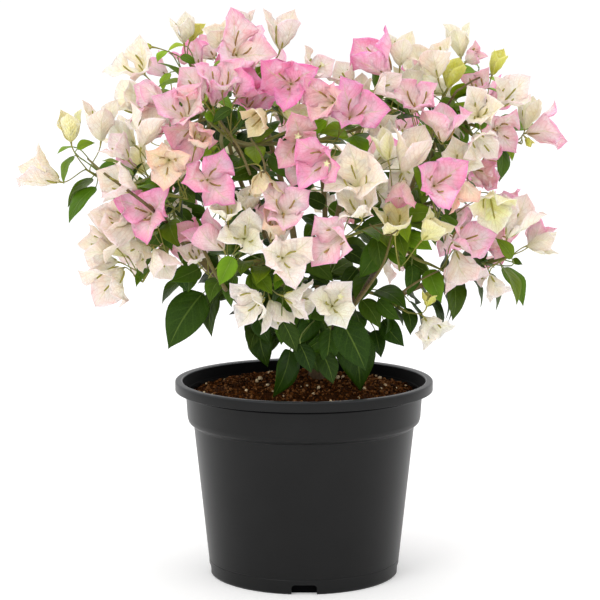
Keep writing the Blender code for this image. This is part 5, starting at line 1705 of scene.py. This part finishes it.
@dataclass
class Pot:
    """Round nursery pot: tapering body, stepped collar, turned-down lip and four drain slots."""

    foot_radius: float = 0.091
    foot_width: float = 0.012
    floor_top: float = 0.0112
    body_foot: float = 0.012
    body_foot_radius: float = 0.0929
    body_top: float = 0.1465
    body_top_radius: float = 0.1072
    collar_foot: float = 0.150
    lip_depth: float = 0.0095
    lip_wall: float = 0.0018
    groove_height: float = 0.0142
    sides: int = 144
    slot_size: Place = (0.015, 0.024, 0.019)
    slot_turns: tuple[float, ...] = (-0.05, pi / 2, pi + 0.05, 1.5 * pi)
    wide_slot: float = 1.38
    # the inner lip wall within this radius and above this height gets the painted-shade material
    shade_wall_radius: float = 0.1180
    shade_wall_foot: float = 0.1775

    def profile(self) -> list[Place]:
        """Lists the section's corners, from the floor's middle round the lip to the foot.

        Returns:
            Radius, height and rounding of each corner.
        """
        lip, collar, top, wall = POT_HEIGHT, self.collar_foot, self.body_top_radius, self.lip_wall
        foot, inner, skirt = self.foot_radius, self.foot_radius - self.foot_width, POT_HEIGHT - self.lip_depth
        groove = [(self.wall_at(self.groove_height + step) - inset, self.groove_height + step, 0.0002)
                  for step, inset in ((0.0007, 0), (0, 0.0005), (-0.0007, 0))]
        return [
            (0, self.floor_top, 0), (foot - 0.0015, self.floor_top, 0.0010),
            (top - wall, collar - 0.003, 0.0008), (0.1108, collar + 0.0015, 0.0008),
            (0.1130, 0.1785, 0.0006), (0.1142, 0.1795, 0.0004), (0.1182, lip, 0.0012),
            (LIP_RADIUS, lip, 0.0016), (LIP_RADIUS, skirt, 0.0006), (LIP_RADIUS - wall, skirt, 0.0005),
            (LIP_RADIUS - wall, lip - 0.0026, 0.0006), (0.1202, lip - 0.0026, 0.0006), (0.1147, 0.1765, 0.0008),
            (0.1132, collar + 0.004, 0.0012), (0.1120, collar, 0.0012), (top, self.body_top, 0.0010), *groove,
            (self.body_foot_radius, self.body_foot, 0.0003), (foot + 0.0016, 0.002, 0.0010), (foot, 0, 0.0006),
            (inner, 0, 0.0006), (inner - 0.002, 0.0028, 0.0006), (0.0530, 0.0028, 0.0004), (0.0500, 0, 0.0004),
            (0, 0, 0),
        ]

    def wall_at(self, height: float) -> float:
        """Gives the outer radius of the tapering body at a height."""
        share = (height - self.body_foot) / (self.body_top - self.body_foot)
        return self.body_foot_radius + (self.body_top_radius - self.body_foot_radius) * share

    def rounded(self) -> Array:
        """Rounds the corners of the section.

        Returns:
            Radius and height of each point.
        """
        corners = self.profile()
        points = [corners[0][:2]]
        for before, corner, after in zip(corners, corners[1:], corners[2:]):
            here = np.array(corner[:2])
            sides = [np.array(place[:2]) - here for place in (before, after)]
            cut = min(corner[2], *(0.45 * np.linalg.norm(side) for side in sides))
            start, end = (here + side / np.linalg.norm(side) * cut for side in sides)
            points += [start * (1 - t) ** 2 + here * 2 * t * (1 - t) + end * t ** 2 for t in (0, 0.33, 0.67, 1)]
        return np.array(points + [corners[-1][:2]])

    def build(self) -> None:
        """Turns the section, cuts the drain slots and hands the pot over."""
        section = self.rounded()
        mesh = bpy.data.meshes.new("moulded_pot")
        edges = [(index, index + 1) for index in range(len(section) - 1)]
        mesh.from_pydata([(radius, 0, height) for radius, height in section], edges, [])
        pot = place_object("moulded_pot", mesh)
        set_all(pot.modifiers.new("Turn", "SCREW"), angle=tau, steps=self.sides, render_steps=self.sides,
                use_merge_vertices=True, merge_threshold=0.00001, use_normal_calculate=True)
        cutters = [self.cutter(turn, 1 if number % 2 else self.wide_slot)
                   for number, turn in enumerate(self.slot_turns)]
        for cutter in cutters:
            set_all(pot.modifiers.new("Slot", "BOOLEAN"), operation="DIFFERENCE", solver="EXACT", object=cutter)
        bpy.context.view_layer.update()
        solid = pot.evaluated_get(bpy.context.evaluated_depsgraph_get())
        pot.data = bpy.data.meshes.new_from_object(solid)
        pot.modifiers.clear()
        for cutter in cutters:
            bpy.data.objects.remove(cutter, do_unlink=True)
        pot.data.materials.clear()
        # second material: painted shade, a darker black with almost no gloss, for the inner lip wall and the drain
        # pockets where shade falls
        for finish in (PotFinish(), PotFinish("painted_shade_black_plastic", 0.6, 0.03, (6, 6, 7), (9, 9, 10))):
            pot.data.materials.append(finish.material())
        # faces of the inner lip wall and of the drain pockets take the painted shade
        for face in pot.data.polygons:
            ring, height = hypot(face.center.x, face.center.y), face.center.z
            shaded_inner_wall = ring < self.shade_wall_radius and height > self.shade_wall_foot
            shaded_pocket = ring < self.foot_radius - 0.001 and height < self.slot_size[2] / 2 + 0.0003
            face.material_index = int(shaded_inner_wall or shaded_pocket)
        pot.data.shade_smooth()
        pot.data.set_sharp_from_angle(angle=radians(38))
        hand_over(pot, ("pot",))

    def cutter(self, turn: float, wide: float) -> Piece:
        """Makes the block that cuts one drain slot.

        Args:
            turn: Direction of the slot about the pot, in radians.
            wide: How many times as wide as the front slot it is.

        Returns:
            The block, which is not rendered.
        """
        block = bmesh.new()
        deep, broad, high = self.slot_size
        bmesh.ops.create_cube(block, size=1, matrix=Matrix.Diagonal((deep, broad * wide, high, 1)))
        upright = [edge for edge in block.edges if abs(edge.verts[0].co.x - edge.verts[1].co.x) > 0.01]
        bmesh.ops.bevel(block, geom=upright, offset=0.0035, segments=4, affect="EDGES", profile=0.5)
        mesh = bpy.data.meshes.new("slot")
        block.to_mesh(mesh)
        block.free()
        place = (self.foot_radius * cos(turn), self.foot_radius * sin(turn), 0)
        return set_all(place_object("slot", mesh), location=place, rotation_euler=(0, 0, turn))


@dataclass
class Soil:
    """Potting soil: a mounded bed, crumbs, fibres and pale grains of perlite."""

    rim: float = 0.1088
    bed_sides: int = 96
    bed_rings: int = 22
    crumbs: int = 5200
    fibres: int = 260
    grains: int = 52
    mound: float = 0.0145
    draw: np.random.Generator = field(default_factory=lambda: np.random.default_rng(SEED))

    def on_bed(self, turns: Array, radius: Array | float) -> Array:
        """Finds the bed's points at turns and a radius.

        Args:
            turns: Directions about the pot.
            radius: How far from its axis.

        Returns:
            The points, one row each.
        """
        x, y, _ = points = round_points(turns, radius, 0).T
        relief = 0.0011 * np.sin(x * 96 + 1.3) * np.cos(y * 81) + 0.0007 * np.sin(x * 210 - y * 170)
        points[2] = SOIL_RIM + self.mound * (1 - (x ** 2 + y ** 2) / self.rim ** 2) + relief
        return points.T

    def build(self) -> None:
        """Builds the bed, the crumbs with the fibres, and the perlite."""
        soil = GrainFinish("coir_soil", 0.95, 900, 0.0010).material()
        pale = GrainFinish("perlite", 0.85, 1400, 0.0004).material()
        hand_over(self.bed().piece("soil_bed", (soil,)), ("soil",))
        hand_over(self.loose().piece("soil_crumbs", (soil,)))
        hand_over(self.perlite().piece("perlite_grains", (pale,)))

    def bed(self) -> Shape:
        """Builds the closed skin of the filled bed.

        Returns:
            The bed.
        """
        turns = tau * np.arange(self.bed_sides) / self.bed_sides
        rings = [round_points(turns, radius, height)
                 for radius, height in ((0.0899, 0.0118), (0.1044, 0.1465), (0.1082, 0.1530))]
        rings += [self.on_bed(turns, self.rim * share) for share in np.linspace(1, 0.02, self.bed_rings)]
        shape = Shape()
        shape.add_rings(np.array(rings), toned(0, (38, 20, 8), (70, 40, 20)))
        return shape

    def spots(self, count: int) -> Array:
        """Scatters so many places over the bed's surface."""
        radius = self.rim * np.sqrt(self.draw.random(count)) * 1.005
        return self.on_bed(self.draw.random(count) * tau, radius)

    def lumps(self, shape: Shape, places: Array, sizes: Array, rough: float, colours: Array) -> None:
        """Adds a rough lump at each place.

        Args:
            shape: Gathers the faces.
            places: Middles of the lumps.
            sizes: Radius of each lump.
            rough: How uneven they are, as a share of the radius.
            colours: Linear colour of each lump.
        """
        ball = bmesh.new()
        bmesh.ops.create_icosphere(ball, subdivisions=1, radius=1)
        corners = np.array([tuple(vert.co) for vert in ball.verts])
        faces = np.array([[vert.index for vert in face.verts] for face in ball.faces])
        ball.free()
        for place, size, colour in zip(places, sizes, colours):
            stretch = self.draw.uniform(0.65, 1.25, 3)
            turn = np.linalg.qr(self.draw.normal(size=(3, 3)))[0]
            if np.linalg.det(turn) < 0:
                turn[:, 0] = -turn[:, 0]
            bumps = 1 + rough * self.draw.uniform(-1, 1, (len(corners), 1))
            points = (corners * bumps * stretch) @ turn.T * size + place
            first = shape.add_points(points, np.full((len(points), 2), 0.5), Coat(0, colour * 0.7, colour * 1.25))
            shape.add_faces(faces + first, 0)

    def loose(self) -> Shape:
        """Builds the crumbs and the fibres.

        Returns:
            Their closed skins.
        """
        shape = Shape()
        places = self.spots(self.crumbs)
        sizes = 0.0006 + 0.0013 * self.draw.random(self.crumbs) ** 2.2
        places[:, 2] += sizes * 0.35
        browns = np.array([linear(colour) for colour in ((54, 28, 8), (82, 45, 18), (106, 64, 30), (34, 19, 7),
                                                         (132, 90, 54), (66, 35, 12))])
        colours = browns[self.draw.integers(0, len(browns), self.crumbs)]
        self.lumps(shape, places, sizes, 0.28, colours)
        for place in self.spots(self.fibres):
            turn = self.draw.random() * tau
            way = np.array((cos(turn), sin(turn), self.draw.uniform(-0.12, 0.2)))
            length = self.draw.uniform(0.005, 0.013)
            steps = np.linspace(-0.5, 0.5, 5)[:, None]
            bend = np.array((-way[1], way[0], 0.25)) * self.draw.uniform(-0.3, 0.3)
            line = place + way * steps * length + bend * steps ** 2 * length + np.array((0, 0, 0.0012))
            if (np.linalg.norm(line[:, :2], axis=1) < self.rim).all():
                brown = browns[self.draw.integers(1, 5)]
                shape.add_stem(line, np.full(5, self.draw.uniform(0.00018, 0.0004)), 4, Coat(0, brown, brown * 1.3))
        return shape

    def perlite(self) -> Shape:
        """Builds the pale grains.

        Returns:
            Their closed skins.
        """
        shape = Shape()
        places = self.spots(self.grains)
        sizes = 0.0008 + 0.0015 * self.draw.random(self.grains) ** 2
        places[:, 2] += sizes * 0.8
        colours = np.array([linear((222, 200, 162))] * self.grains) * self.draw.uniform(0.8, 1.1, (self.grains, 1))
        self.lumps(shape, places, sizes, 0.2, np.clip(colours, 0, 0.8))
        return shape


@dataclass
class Studio:
    """Pale floor, soft lights and the camera."""

    floor_size: float = 30.0
    world_strength: float = 1.04
    lens: float = 126.2
    sensor: float = 36.0

    def build(self) -> None:
        """Sets up the floor, the lights and the camera."""
        scene = bpy.context.scene
        set_all(scene.view_settings, view_transform="Standard", look="None")
        data = set_all(bpy.data.cameras.new("photo_view"), sensor_width=self.sensor, lens=self.lens, clip_end=200)
        scene.camera = set_all(place_object("photo_view", data), location=VIEW_PLACE,
                               rotation_euler=(pi / 2 - VIEW_PITCH, 0, 0))
        self.add_floor()
        scene.world = set_all(bpy.data.worlds.new("studio"), use_nodes=True)
        sky = scene.world.node_tree.nodes["Background"].inputs
        sky["Color"].default_value = (1, 1, 1, 1)
        sky["Strength"].default_value = self.world_strength
        self.add_light("key", (-1.1, -1.6, 1.9), 1.1, 16)
        self.add_light("fill", (1.7, -1.2, 1.1), 1.5, 3)
        self.add_light("top", (0.1, 0.5, 2), 1.2, 5)

    def add_floor(self) -> None:
        """Lays the floor."""
        half = self.floor_size / 2
        mesh = bpy.data.meshes.new("studio_floor")
        mesh.from_pydata([(x * half, y * half, 0) for x, y in SQUARE], [], [(0, 1, 2, 3)])
        mesh.materials.append(FloorFinish().material())
        place_object("studio_floor", mesh)

    def add_light(self, name: str, place: Place, size: float, power: float) -> None:
        """Hangs a soft square light that shines at the crown."""
        light = place_object(name, set_all(bpy.data.lights.new(name, "AREA"), size=size, energy=power))
        set_all(light, location=place, rotation_euler=(Vector(place) - UP * 0.3).to_track_quat("Z", "Y").to_euler())


def main() -> None:
    """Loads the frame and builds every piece."""
    logging.basicConfig(level=logging.INFO, format="%(name)s: %(message)s")
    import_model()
    Studio().build()
    plant = Plant()
    plant.grow()
    LOG.info("placed as the solids: %d whorls, %d leaves", *plant.counts())
    plant.fill_out()
    LOG.info("placed in all: %d whorls, %d leaves", *plant.counts())
    Pot().build()
    Soil().build()
    Trunk(plant).build()
    Crown(plant).build()


if __name__ == "__main__":
    main()
